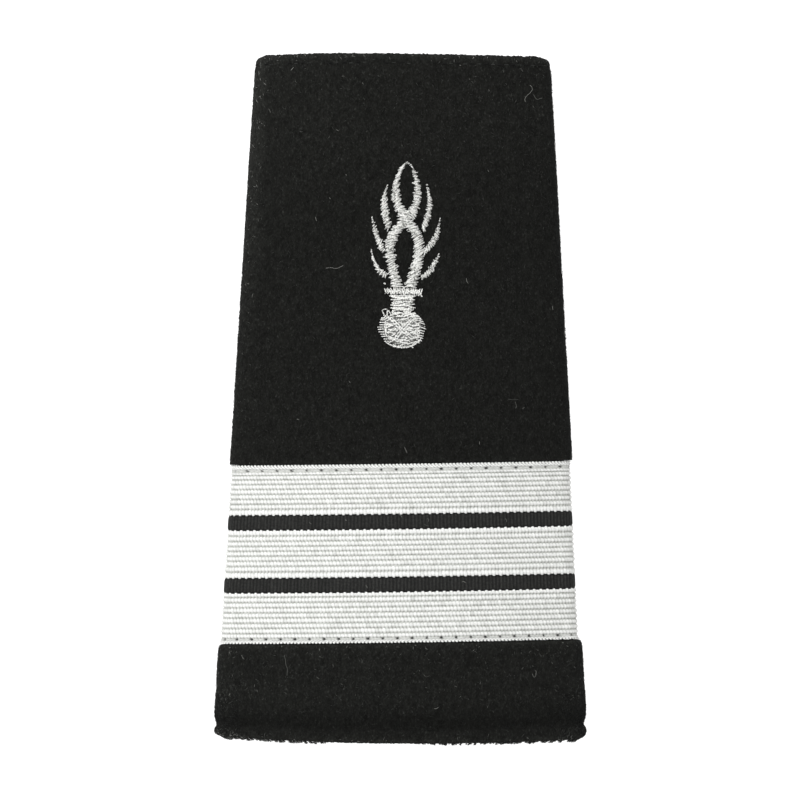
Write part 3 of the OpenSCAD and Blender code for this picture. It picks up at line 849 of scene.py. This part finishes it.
def ribbon_stitches():
    """The thread of the two sewn rows: short arcs that dive into the needle holes."""
    paths = []
    u = np.linspace(0, 1, 9)
    depth = PRESS_DEPTH - SEAT - BAR_T + 0.24 * MM - 0.09 * MM * arc(u)
    for number in (1, 3):
        middle, pitch, start = sewn_row(number)
        y = RIBBON_LO + bar_lo(number) + middle
        reach = [straight(y, side * (side_lengths(y, side)[0] + 4 * MM)) for side in (-1, 1)]
        first, last = math.ceil(reach[0] / pitch - 0.5), math.ceil(reach[1] / pitch + 0.5)
        lines = np.linspace(-1, 1, 400) * (side_lengths(y, -1)[0] + 6 * MM)
        for k in range(first, last):
            x = (k + 0.5 - start) * pitch + 0.16 * MM + pitch * rng.uniform(0.7, 0.86) * u
            along = np.interp(x, straight(y, lines), lines)
            bend = y + (0.07 - 0.14 * u) * MM + rng.normal(0, 0.02 * MM)
            paths.append(place(bend, *wrap(bend, along), depth))
    mesh = tubes(np.array(paths), 0.055 * MM, 6)
    # The thread is painted a little grey, as shade in the sewn groove, with random tone
    deep = np.clip(0.35 + rng.normal(0, 0.12, (len(paths), len(u))), 0, 1)
    return new_piece("ribbon_stitches", *mesh, "white_ribbon", WHITE, deep=deep, hole=0 * deep)


def ribbon_lint():
    """Pale fibres and specks caught on the black stripes: points of x and y in mm."""
    rows = [[(-0.3, -17.3), (0.05, -17.5), (0.35, -17.8)], [(4.2, -18.0), (4.35, -18.2), (4.3, -18.5)],
            [(3.7, -18.9), (4.0, -19.1), (4.4, -19.15)], [(-8.2, -18.2), (-8.1, -18.35), (-8.0, -18.3)],
            [(-13.6, -18.6), (-13.5, -18.8), (-13.3, -18.9)],
            [(9.4, -27.6), (9.6, -27.5), (9.9, -27.7)], [(-5.1, -28.1), (-4.9, -28.3), (-4.9, -28.5)],
            [(15.9, -18.1), (16.1, -18.3), (16.1, -18.6)]]
    at = np.linspace(0, 2, 7)
    xy = np.array([read_off(at, range(3), *np.transpose(row)) for row in rows]) * MM
    mesh = tubes(on_felt(xy, STRIPE_T + SEAT - PRESS_DEPTH + 0.02 * MM), 0.028 * MM, 4)
    tones = rng.uniform(0.82, 1.0, len(rows))
    return new_piece("ribbon_lint", *mesh, "white_ribbon", NAP, tone=tones)


bars = [white_bar(number) for number in BARS]
stripes = [black_stripe(number) for number in (1, 2)]
trim = [ribbon_stitches(), ribbon_lint()]


# The embroidery

FIGURE_W = 10.8 * MM
FIGURE_H = 28.1 * MM
FIGURE_Y = 7.5 * MM
FIGURE_X = axis_x(FIGURE_Y + FIGURE_H / 2) + 0.4 * MM
STRAND_W = 1.7 * MM
STRAND_T = 0.5 * MM
BALL_X = FIGURE_X - 0.4 * MM
BALL_W, BALL_H, BALL_T = 7 * MM, 5.9 * MM, 0.75 * MM
BALL_Y = FIGURE_Y + BALL_H / 2
COLLAR_W, COLLAR_H = 5.6 * MM, 0.95 * MM
COLLAR_X = BALL_X + 0.2 * MM
COLLAR_Y = FIGURE_Y + 0.327 * FIGURE_H - 0.18 * MM - COLLAR_H / 2
NECK_W = 3.3 * MM
NECK_X = BALL_X + 0.1 * MM
NECK_LO, NECK_HI = FIGURE_Y + BALL_H + SEAT, COLLAR_Y - COLLAR_H / 2 - 0.05 * MM
THREAD_R = 0.1 * MM
THREAD_POINTS = 15
STITCH_PITCH = 0.19 * MM
BEAD = 0.34 * MM

# Rows of x as a share of half the figure's width, y as a share of its height, and the width as a
# share of the strand's
STRANDS = {
    "flame_strand_under": [
        [-0.205, 0.327, 1.17], [-0.22, 0.345, 1.15], [-0.26, 0.372, 1.1], [-0.345, 0.435, 0.98],
        [-0.405, 0.524, 0.98], [-0.32, 0.604, 1], [0, 0.687, 1], [0.25, 0.746, 0.88],
        [0.36, 0.813, 0.74], [0.343, 0.877, 0.5], [0.25, 0.949, 0.3], [0.18, 0.985, 0.12]],
    "flame_strand_over": [
        [0.18, 0.327, 1.16], [0.19, 0.345, 1.15], [0.21, 0.366, 1.12], [0.3, 0.426, 1.07],
        [0.39, 0.513, 1.05], [0.35, 0.591, 1], [0.22, 0.636, 1], [0.04, 0.684, 1],
        [-0.06, 0.722, 1], [-0.175, 0.764, 0.86], [-0.25, 0.829, 0.74], [-0.22, 0.901, 0.53],
        [-0.07, 0.969, 0.39], [0.05, 0.995, 0.12]],
    "side_flame_left_high": [
        [-0.47, 0.881, 0.09], [-0.55, 0.834, 0.26], [-0.58, 0.775, 0.6], [-0.54, 0.717, 0.7],
        [-0.465, 0.664, 0.66], [-0.435, 0.646, 0.56]],
    "side_flame_left_mid": [
        [-0.91, 0.707, 0.09], [-0.86, 0.658, 0.26], [-0.79, 0.61, 0.5], [-0.71, 0.566, 0.58],
        [-0.635, 0.535, 0.5], [-0.585, 0.519, 0.42]],
    "side_flame_left_low": [
        [-0.93, 0.529, 0.09], [-0.89, 0.492, 0.28], [-0.8, 0.447, 0.44], [-0.69, 0.413, 0.53],
        [-0.58, 0.396, 0.5], [-0.52, 0.385, 0.42]],
    "side_flame_right_high": [
        [0.61, 0.881, 0.09], [0.66, 0.834, 0.32], [0.69, 0.773, 0.48], [0.65, 0.711, 0.62],
        [0.55, 0.66, 0.58], [0.51, 0.638, 0.5]],
    "side_flame_right_mid": [
        [0.98, 0.698, 0.09], [0.95, 0.652, 0.26], [0.86, 0.596, 0.56], [0.74, 0.56, 0.6],
        [0.63, 0.533, 0.52], [0.565, 0.516, 0.46]],
    "side_flame_right_low": [
        [0.96, 0.513, 0.09], [0.9, 0.481, 0.26], [0.8, 0.441, 0.44], [0.66, 0.408, 0.5],
        [0.55, 0.391, 0.46], [0.46, 0.376, 0.4]],
}
# The stitches' direction in degrees from the right, upwards positive, at shares of the height
SLANTS = {
    "flame_strand_under": [
        (0.327, 4), (0.36, 10), (0.42, 20), (0.55, 20), (0.61, 6), (0.66, 2), (0.7, -4), (0.74, -18),
        (0.78, -24), (0.82, -12), (0.9, -10), (0.95, -20), (0.985, -40)],
    "flame_strand_over": [
        (0.327, 12), (0.4, 24), (0.55, 26), (0.61, 26), (0.65, 14), (0.7, 0), (0.74, 5), (0.78, 32),
        (0.82, 42), (0.95, 45), (1, 35)],
    "side_flame_left_high": [(0.64, 55), (0.68, 42), (0.78, 40), (0.88, 50)],
    "side_flame_left_mid": [(0.53, 50), (0.6, 35), (0.7, 50)],
    "side_flame_left_low": [(0.39, 62), (0.45, -50), (0.53, -65)],
    "side_flame_right_high": [(0.64, -65), (0.67, -50), (0.72, -12), (0.88, -25)],
    "side_flame_right_mid": [(0.53, -75), (0.56, -55), (0.62, -40), (0.7, 60)],
    "side_flame_right_low": [(0.39, -85), (0.45, -80), (0.51, 75)],
}
# Where the over strand is lifted: shares of the height, and of the under strand's thickness
CROSSING = ([0.57, 0.62, 0.75, 0.8], [0, 1.05, 1.05, 0])


def curve_through(rows):
    """A smooth curve through rows of numbers."""
    rows = np.array(rows)
    steps = 12
    ends = np.concatenate([[2 * rows[0] - rows[1]], rows, [2 * rows[-1] - rows[-2]]])
    t = (np.arange(steps) / steps)[:, None]
    pieces = [b + 0.5 * t * (c - a + t * (2 * a - 5 * b + 4 * c - d + t * (3 * (b - c) + d - a)))
              for a, b, c, d in zip(ends, ends[1:], ends[2:], ends[3:])]
    return np.concatenate(pieces + [rows[-1:]])


def stitched(name, parts, nodes=()):
    """One embroidered piece from several meshes, each vertices, faces and a tone for each vertex."""
    verts, faces, tones, start = [], [], [], 0
    for part_verts, part_faces, tone in parts:
        verts.append(part_verts)
        faces += [f + start for f in part_faces]
        tones.append(tone)
        start += len(part_verts)
    return new_piece(name, np.concatenate(verts), faces, "silver_thread", SILVER, nodes,
                     tone=np.concatenate(tones))


def threads(paths, tone, radius, bead_shading=0.4, specks=0.2):
    """Threads along paths of equally many points. Their twist shows as thicker and thinner beads, with a
    painted highlight and shade along each, and specks is the share of points painted dark as the
    shade between two strands."""
    n, k = paths.shape[:2]
    taper = np.ones(k)
    taper[[0, -1]] = 0.6
    turn = run_along(paths) / (BEAD * rng.uniform(0.8, 1.25, (n, 1))) + rng.uniform(0, 1, (n, 1))
    bead = np.sin(2 * math.pi * turn)
    radii = np.reshape(radius, (-1, 1)) * taper * (1 + 0.2 * bead) * rng.uniform(0.86, 1.14, (n, k))
    verts, faces = tubes(paths, radii, 4, 0.85)
    # Painted highlights and shade along the beads, and specks painted dark as shade
    tones = np.reshape(tone, (-1, 1)) + bead_shading * bead + rng.normal(0, 0.1, (n, k))
    tones = np.clip(tones - (rng.random((n, k)) < specks) * rng.uniform(0.25, 0.65, (n, k)), 0.02, 1)
    return verts, faces, np.repeat(tones, 4)


def tones_for(n, low=0.35):
    """A tone for each of n threads: mostly light, some in the shade."""
    return np.where(rng.random(n) < 0.1, rng.uniform(low * 0.4, low, n), rng.uniform(0.8, 1.12, n))


def satin(name):
    """A strand of slanted satin stitches over padding, along its curve, with short threads on top as
    painted glints and shade.
    """
    x_share, y_share, width = curve_through(STRANDS[name]).T
    x = FIGURE_X + x_share * FIGURE_W / 2
    y = FIGURE_Y + y_share * FIGURE_H
    run = run_along(np.stack([x, y], -1))
    count = int(run[-1] / STITCH_PITCH)
    s = (np.arange(count) + 0.5) / count * run[-1] + rng.normal(0, 0.07 * MM, count)
    centre = read_off(s, run, x, y)
    share, wide = read_off(s, run, y_share, width).T
    tangent = read_off(s, run, np.gradient(x, run), np.gradient(y, run))
    tangent /= np.linalg.norm(tangent, axis=1)[:, None]

    def lifted(share):
        crossing = np.interp(share, *CROSSING) if name == "flame_strand_over" else 0 * share
        return crossing * (STRAND_T + SEAT)

    def dome(u):
        return 1 - np.abs(u) ** 2.4
    zigzag = np.where(np.arange(count) % 2 == 0, 7, -7)
    slant = np.interp(share, *np.transpose(SLANTS[name])) + zigzag
    angle = np.radians(slant + rng.normal(0, 9, count))
    along = np.stack([np.cos(angle), np.sin(angle)], -1)
    across = np.abs(along[:, 0] * tangent[:, 1] - along[:, 1] * tangent[:, 0])
    half = wide * STRAND_W / 2 / np.maximum(across, 0.6) * rng.normal(0.94, 0.11, count) - 0.02 * MM
    half += np.where(rng.random(count) < 0.14, rng.uniform(0.08, 0.24, count), 0) * MM * (wide > 0.3)
    centre = centre + along * rng.normal(0, 0.07 * MM, (count, 1))
    u = np.linspace(-1, 1, THREAD_POINTS)
    xy = centre[:, None] + along[:, None] * (half[:, None] * u)[..., None]
    up, crest = lifted(share), STRAND_T * np.sqrt(wide)
    rise = crest[:, None] * dome(u) - THREAD_R + rng.normal(0, 0.05 * MM, (count, 1)) * dome(u)
    rise = rise + up[:, None] * np.where(np.abs(u) > 0.95, 0.7, 1.0)
    thin = 0.88 * THREAD_R * np.clip(np.sqrt(wide / 0.45), 0.5, 1) * rng.uniform(0.75, 1.1, count)
    lumps = 0.16 * waves(centre, 0.8 * MM, len(name))
    laid = threads(on_felt(xy, rise), tones_for(count) + 0.22 + lumps, thin, bead_shading=0.28, specks=0.14)
    # Short threads that lie askew on top: most bright, as painted glints, the rest dark, as painted
    # shade
    pick = rng.integers(0, count, 5 * count // 2)
    spot = rng.uniform(-0.85, 0.85, len(pick))
    turn = angle[pick] + np.radians(rng.normal(8, 24, len(pick)))
    reach = rng.uniform(0.07, 0.17, len(pick)) * MM * np.clip(wide[pick] / 0.5, 0.5, 1)
    ray = np.stack([np.cos(turn), np.sin(turn)], -1) * reach[:, None]
    middle = centre[pick] + along[pick] * (half[pick] * spot)[:, None]
    top_xy = middle[:, None] + ray[:, None] * u[:, None]
    top_rise = crest[pick] * dome(spot) + up[pick] - 0.02 * MM
    glint_tone = np.where(rng.random(len(pick)) < 0.7, 1.15, 0.05)
    glints = threads(on_felt(top_xy, top_rise[:, None]), glint_tone, 0.065 * MM)
    # The padding under the stitches, its low tone painted shade between them
    firm = run[width > 0.26]
    core = np.linspace(firm[0], firm[-1], 60)
    core_share, core_wide = read_off(core, run, y_share, width).T
    radii = core_wide * STRAND_W * 0.3
    flat = ((STRAND_T * np.sqrt(core_wide) - 2.2 * THREAD_R).clip(0.02 * MM) / radii)[None, :, None]
    path = on_felt(read_off(core, run, x, y), lifted(core_share))
    verts, faces = tubes(path[None], radii, 10, flat)
    parts = [(verts, faces, np.full(len(verts), 0.38)), laid, glints]
    return stitched(name.replace("flame", "stitched"), parts, [name])


def line_threads(lines, height, tone, radius, lift=0, bead_shading=0.3, specks=0.2):
    """Threads along polylines of x and y in metres. height gives the rise over the felt at x and
    y, and lift is added to it."""
    xy = np.array([even_points(row, THREAD_POINTS) for row in lines])
    radius = np.broadcast_to(radius, len(lines))
    rise = height(xy) + lift + radius[:, None] * 0.5
    rise[:, [0, -1]] -= radius[:, None]
    return threads(on_felt(xy, rise), tone, radius, bead_shading, specks)


def padding(outline, height):
    """A low closed cushion over the felt. outline is its points, around, and height its rise. Its low
    tone is painted shade between the threads over it.
    """
    middle, count, rings = outline.mean(0), len(outline), 6
    turn = np.linspace(math.pi / 2, 0, rings + 1)[:-1, None]
    xy = middle + (outline - middle) * np.sin(turn)[..., None]
    top = on_felt(xy, height * np.cos(turn))
    foot, tip = on_felt(outline, -0.1 * MM), on_felt(middle[None], height)
    points = np.concatenate([foot, top.reshape(-1, 3), tip])
    around = np.arange(count)
    fan = np.stack([rings * count + around, rings * count + (around + 1) % count,
                    np.full(count, len(points) - 1)], -1)
    return points, [grid_faces(rings + 1, count), around[None, ::-1], fan], np.full(len(points), 0.2)


def ellipse(x, y, half_wide, half_high):
    turn = np.linspace(0, 2 * math.pi, 40, endpoint=False)
    return np.stack([x + half_wide * np.cos(turn), y + half_high * np.sin(turn)], -1)


def ball_points(rows):
    """Polylines in shares of the ball's half width and half height, in metres."""
    return [[(BALL_X + u * BALL_W / 2, BALL_Y + v * BALL_H / 2) for u, v in row] for row in rows]


def ball_rise(xy):
    r = np.hypot((xy[..., 0] - BALL_X) / (BALL_W / 2), (xy[..., 1] - BALL_Y) / (BALL_H / 2))
    return (BALL_T - 0.22 * MM) * (1 - np.clip(r, 0, 1) ** 3.5) + 0.02 * MM


def grenade_ball():
    """Rows of short stitches, a rim of dashes, and two crossed lines of thread on top."""
    def jitter(spread):
        return rng.normal(0, spread)

    def round_rim(angle, reach, high=None):
        return reach * math.cos(angle), (high or reach) * math.sin(angle)
    rim, inner, over, dark = [], [], [], []
    # Dashes round the left and the right rim
    for side in (-1, 1):
        for v in np.arange(-0.68, 0.7, 0.12):
            reach = side * math.sqrt(1 - v * v)
            far, near = reach * (1 + jitter(0.03)), reach * (0.74 + jitter(0.03))
            rim.append([(far, v - 0.05 * side), (near, v + 0.04 + jitter(0.02))])
    # The lower rim, and long threads along it
    for start in np.linspace(-2.35, -0.7, 15):
        a, b = start + jitter(0.04), start + 0.2 + jitter(0.04)
        rim.append([round_rim(a, 0.98), round_rim(b, 0.93)])
    rim += [[(-0.57, -0.75), (-0.39, -0.87), (0.03, -0.96)],
            [(-0.05, -0.94), (0.39, -0.85), (0.69, -0.68)], [(-0.25, -0.9), (0.12, -0.95), (0.33, -0.9)]]
    # The upper right rim
    for start in np.linspace(0.6, 1.25, 7):
        a = start + jitter(0.04)
        rim.append([round_rim(a, 0.98), round_rim(a + 0.16, 0.76, 0.78)])
    # Threads along the inner ends of the side dashes
    rim += [[(-0.7, 0.42), (-0.74, 0.1), (-0.7, -0.25), (-0.6, -0.5)],
            [(-0.66, 0.3), (-0.69, 0.0), (-0.66, -0.2)]]
    # Rows of short stitches over the field inside the rim
    for v in np.arange(-0.86, 1.0, 0.082):
        reach = 0.7 * math.sqrt(max(1 - abs(v) ** 3, 0.16))
        u = -reach + rng.uniform(0, 0.1)
        while u < reach:
            step = rng.uniform(0.13, 0.34)
            slope = jitter(0.075) + 0.02
            inner.append([(u, v + jitter(0.03)), (min(u + step, reach + 0.06), v + slope)])
            u += step * rng.uniform(0.8, 1.0)
    # The crossed lines, each beside a gap painted dark as shade, and dark spots of painted shade where
    # they meet and near the lower left rim
    for d in (-0.04, 0.035):
        over.append([(-0.5 + d, 0.56 + d), (-0.03 + d, -0.015 + d), (0.46 + d, -0.5 + d)])
        over.append([(0.46 - d, 0.54 + d), (0.06 - d, 0.06 + d), (-0.3 - d, -0.54 + d)])
    for d in (-0.085, 0.08):
        dark.append([(-0.48 + d, 0.52 + d), (-0.05 + d, 0.0 + d)])
        dark.append([(0.1 + d, -0.14 + d), (0.44 + d, -0.46 + d)])
        dark.append([(-0.06 - d, -0.14 + d), (-0.28 - d, -0.5 + d)])
    dark += [[(-0.1, -0.05), (0.0, -0.07), (0.04, -0.05)], [(-0.06, -0.1), (0.03, -0.11)],
             [(-0.66, -0.42), (-0.62, -0.44)], [(-0.6, -0.6), (-0.55, -0.62)]]
    # Small loops at the upper left
    loops = [[(-0.62, 0.5), (-0.8, 0.76), (-0.84, 0.93), (-0.75, 1.0), (-0.66, 0.93), (-0.68, 0.8)],
             [(-0.52, 0.5), (-0.6, 0.78), (-0.56, 0.94), (-0.5, 0.88), (-0.48, 0.72)],
             [(-0.4, 0.66), (-0.48, 0.86), (-0.42, 0.94), (-0.36, 0.84), (-0.34, 0.72)],
             [(-0.7, 0.42), (-0.8, 0.56), (-0.9, 0.46)], [(-0.78, 0.62), (-0.62, 0.78)],
             [(-0.6, 0.62), (-0.42, 0.74)]]
    loops = [[(u + jitter(0.03), v + jitter(0.03)) for u, v in row] for row in loops]

    def lay(rows, lift, tones, radius, **looks):
        return line_threads(ball_points(rows), ball_rise, tones, radius * MM, lift * MM, **looks)
    cushion = ellipse(BALL_X, BALL_Y, 0.84 * BALL_W / 2, 0.84 * BALL_H / 2)
    parts = [padding(cushion, BALL_T - 0.42 * MM),
             lay(rim, 0, tones_for(len(rim)), 0.082),
             lay(inner, 0.02, tones_for(len(inner)) + 0.12, 0.088),
             lay(over, 0.1, 1.0, 0.07, bead_shading=0.1, specks=0.05),
             lay(dark, 0.13, 0.0, 0.04, bead_shading=0.1),
             lay(loops, 0.08, 0.7, 0.08)]
    return stitched("stitched_ball", parts, ["grenade_ball"])


def grenade_collar():
    """Short uneven stitches side by side, leaning to and fro, the right end a little lower."""
    count = 34
    lines = []
    for i, x in enumerate(COLLAR_X + np.linspace(-0.5, 0.5, count) * (COLLAR_W - 0.2 * MM)):
        y = COLLAR_Y - 0.12 * MM * (x - COLLAR_X) / (COLLAR_W / 2)
        lean = (0.14 if i % 2 else -0.14) * MM + rng.normal(0, 0.09 * MM)
        low, high = rng.normal(-0.46, 0.11) * COLLAR_H, rng.normal(0.46, 0.11) * COLLAR_H
        if abs(x - COLLAR_X) < 1.9 * MM:
            high += rng.uniform(0.05, 0.25) * MM
        lines.append([(x - lean, y + low), (x + lean, y + high)])
    crest = STRAND_T - 0.2 * MM

    def rise(xy):
        return crest * (1 - np.abs((xy[..., 1] - COLLAR_Y) / (COLLAR_H / 2)).clip(0, 1) ** 3)
    parts = [padding(ellipse(COLLAR_X, COLLAR_Y, 0.47 * COLLAR_W, 0.4 * COLLAR_H), crest),
             line_threads(lines, rise, tones_for(count, 0.5), 0.1 * MM, bead_shading=0.35)]
    return stitched("stitched_collar", parts, ["grenade_collar"])


def grenade_neck():
    """Rows of thread across it, each in two to four stitches with ragged ends."""
    lines, middle, tall = [], (NECK_LO + NECK_HI) / 2, NECK_HI - NECK_LO
    for y in np.linspace(NECK_LO - 0.15 * MM, NECK_HI - 0.03 * tall, 13):
        half = NECK_W / 2 * (0.86 + 0.16 * abs(2 * (y - middle) / tall)) + rng.normal(0, 0.16 * MM)
        inside = rng.uniform(-0.7, 0.7, rng.integers(1, 4)) * half
        cuts = np.sort(np.concatenate([[-half], inside, [half]]))
        for a, b in zip(cuts, cuts[1:]):
            lines.append([(NECK_X + a - 0.05 * MM, y + rng.normal(-0.03 * MM, 0.09 * MM)),
                          (NECK_X + b + 0.05 * MM, y + rng.normal(0.03 * MM, 0.09 * MM))])

    def rise(xy):
        return STRAND_T - 0.22 * MM - 0.15 * MM * np.abs((xy[..., 0] - NECK_X) / (NECK_W / 2)) ** 4
    parts = [padding(ellipse(NECK_X, middle, 0.42 * NECK_W, 0.5 * tall), STRAND_T - 0.3 * MM),
             line_threads(lines, rise, tones_for(len(lines)), 0.095 * MM, bead_shading=0.36)]
    return stitched("stitched_neck", parts, ["grenade_neck"])


def crossing_threads():
    """Threads that sweep over the place where the two strands cross, dark threads between them as
    painted shade, two that join the strands' tips, and a knot by the collar: points of x and y in mm."""
    sweep = [[(0.3, 28.1), (1.1, 28.15), (1.9, 27.9), (2.5, 27.4)],
             [(0.9, 27.9), (1.6, 28.0), (2.2, 27.6), (2.45, 27.2)],
             [(0.2, 27.75), (1.0, 27.85), (1.8, 27.5), (2.3, 26.9)],
             [(0.8, 27.4), (1.5, 27.3), (2.1, 26.8)]]
    shade_gaps = [[(1.2, 28.02), (1.75, 27.86), (2.15, 27.6)], [(1.3, 27.62), (1.85, 27.3), (2.2, 26.95)]]
    tip = [[(1.0, 35.35), (1.35, 35.4), (1.65, 35.1), (1.85, 34.7)],
           [(0.95, 35.2), (1.3, 35.28), (1.6, 34.95)]]
    knot = [[(-2.4, 17.25), (-2.32, 17.34), (-2.22, 17.3)],
            [(-2.28, 17.15), (-2.2, 17.24), (-2.1, 17.2)]]
    lines = [np.array(row) * MM for row in sweep + shade_gaps + tip + knot]
    tones = np.concatenate([tones_for(len(sweep), 0.6), [0, 0, 0.5, 0.4, 0.9, 0.9]])
    radii = np.repeat([0.085, 0.05, 0.05, 0.075], [len(sweep), len(shade_gaps), len(tip), len(knot)]) * MM

    def rise(xy):
        y = xy[..., 1]
        return np.where(y > 33 * MM, 0.12 * MM, np.where(y > 20 * MM, 2 * STRAND_T, 0.1 * MM))
    return stitched("crossing_threads", [line_threads(lines, rise, tones, radii)])


strands = [satin(name) for name in STRANDS]
grenade = [grenade_ball(), grenade_collar(), grenade_neck(), crossing_threads()]


# The stage

def area_light(name, place_at, size, power):
    """A round light that points at the origin."""
    data = bpy.data.lights.new(name, "AREA")
    data.shape = "DISK"
    data.size = size
    data.energy = power
    light = add_object(name, data)
    light.location = place_at
    light.rotation_mode = "QUATERNION"
    light.rotation_quaternion = (-Vector(place_at)).to_track_quat("-Z", "Y")


def stage():
    n = Nodes("floor")
    mesh = bpy.data.meshes.new("floor")
    reach = 3.0
    corners = [(-reach, -reach, 0), (reach, -reach, 0), (reach, reach, 0), (-reach, reach, 0)]
    mesh.from_pydata(corners, [], [(0, 1, 2, 3)])
    paper = n.finish(base_color=(0.4, 0.4, 0.4, 1), roughness=0.9, specular_ior_level=0.1,
                     emission_color=(1, 1, 1, 1), emission_strength=0.92)
    mesh.materials.append(paper)
    floor = add_object("floor", mesh)
    world = bpy.data.worlds.new("studio")
    world.use_nodes = True
    background = world.node_tree.nodes["Background"]
    background.inputs["Color"].default_value = (1, 1, 1, 1)
    background.inputs["Strength"].default_value = 0.38
    bpy.context.scene.world = world
    area_light("key", (-0.45, 0.4, 0.75), 0.5, 6.2)
    area_light("top", (0.15, -0.2, 1.0), 0.8, 3.4)
    bpy.context.scene.view_settings.view_transform = "Standard"


def camera():
    data = bpy.data.cameras.new("camera")
    data.sensor_width = 36
    data.lens = 176.9
    data.clip_start = 0.01
    data.clip_end = 10
    view = add_object("camera", data)
    view.location = (0.00004, -0.00023, 0.6)
    bpy.context.scene.camera = view


stage()
camera()
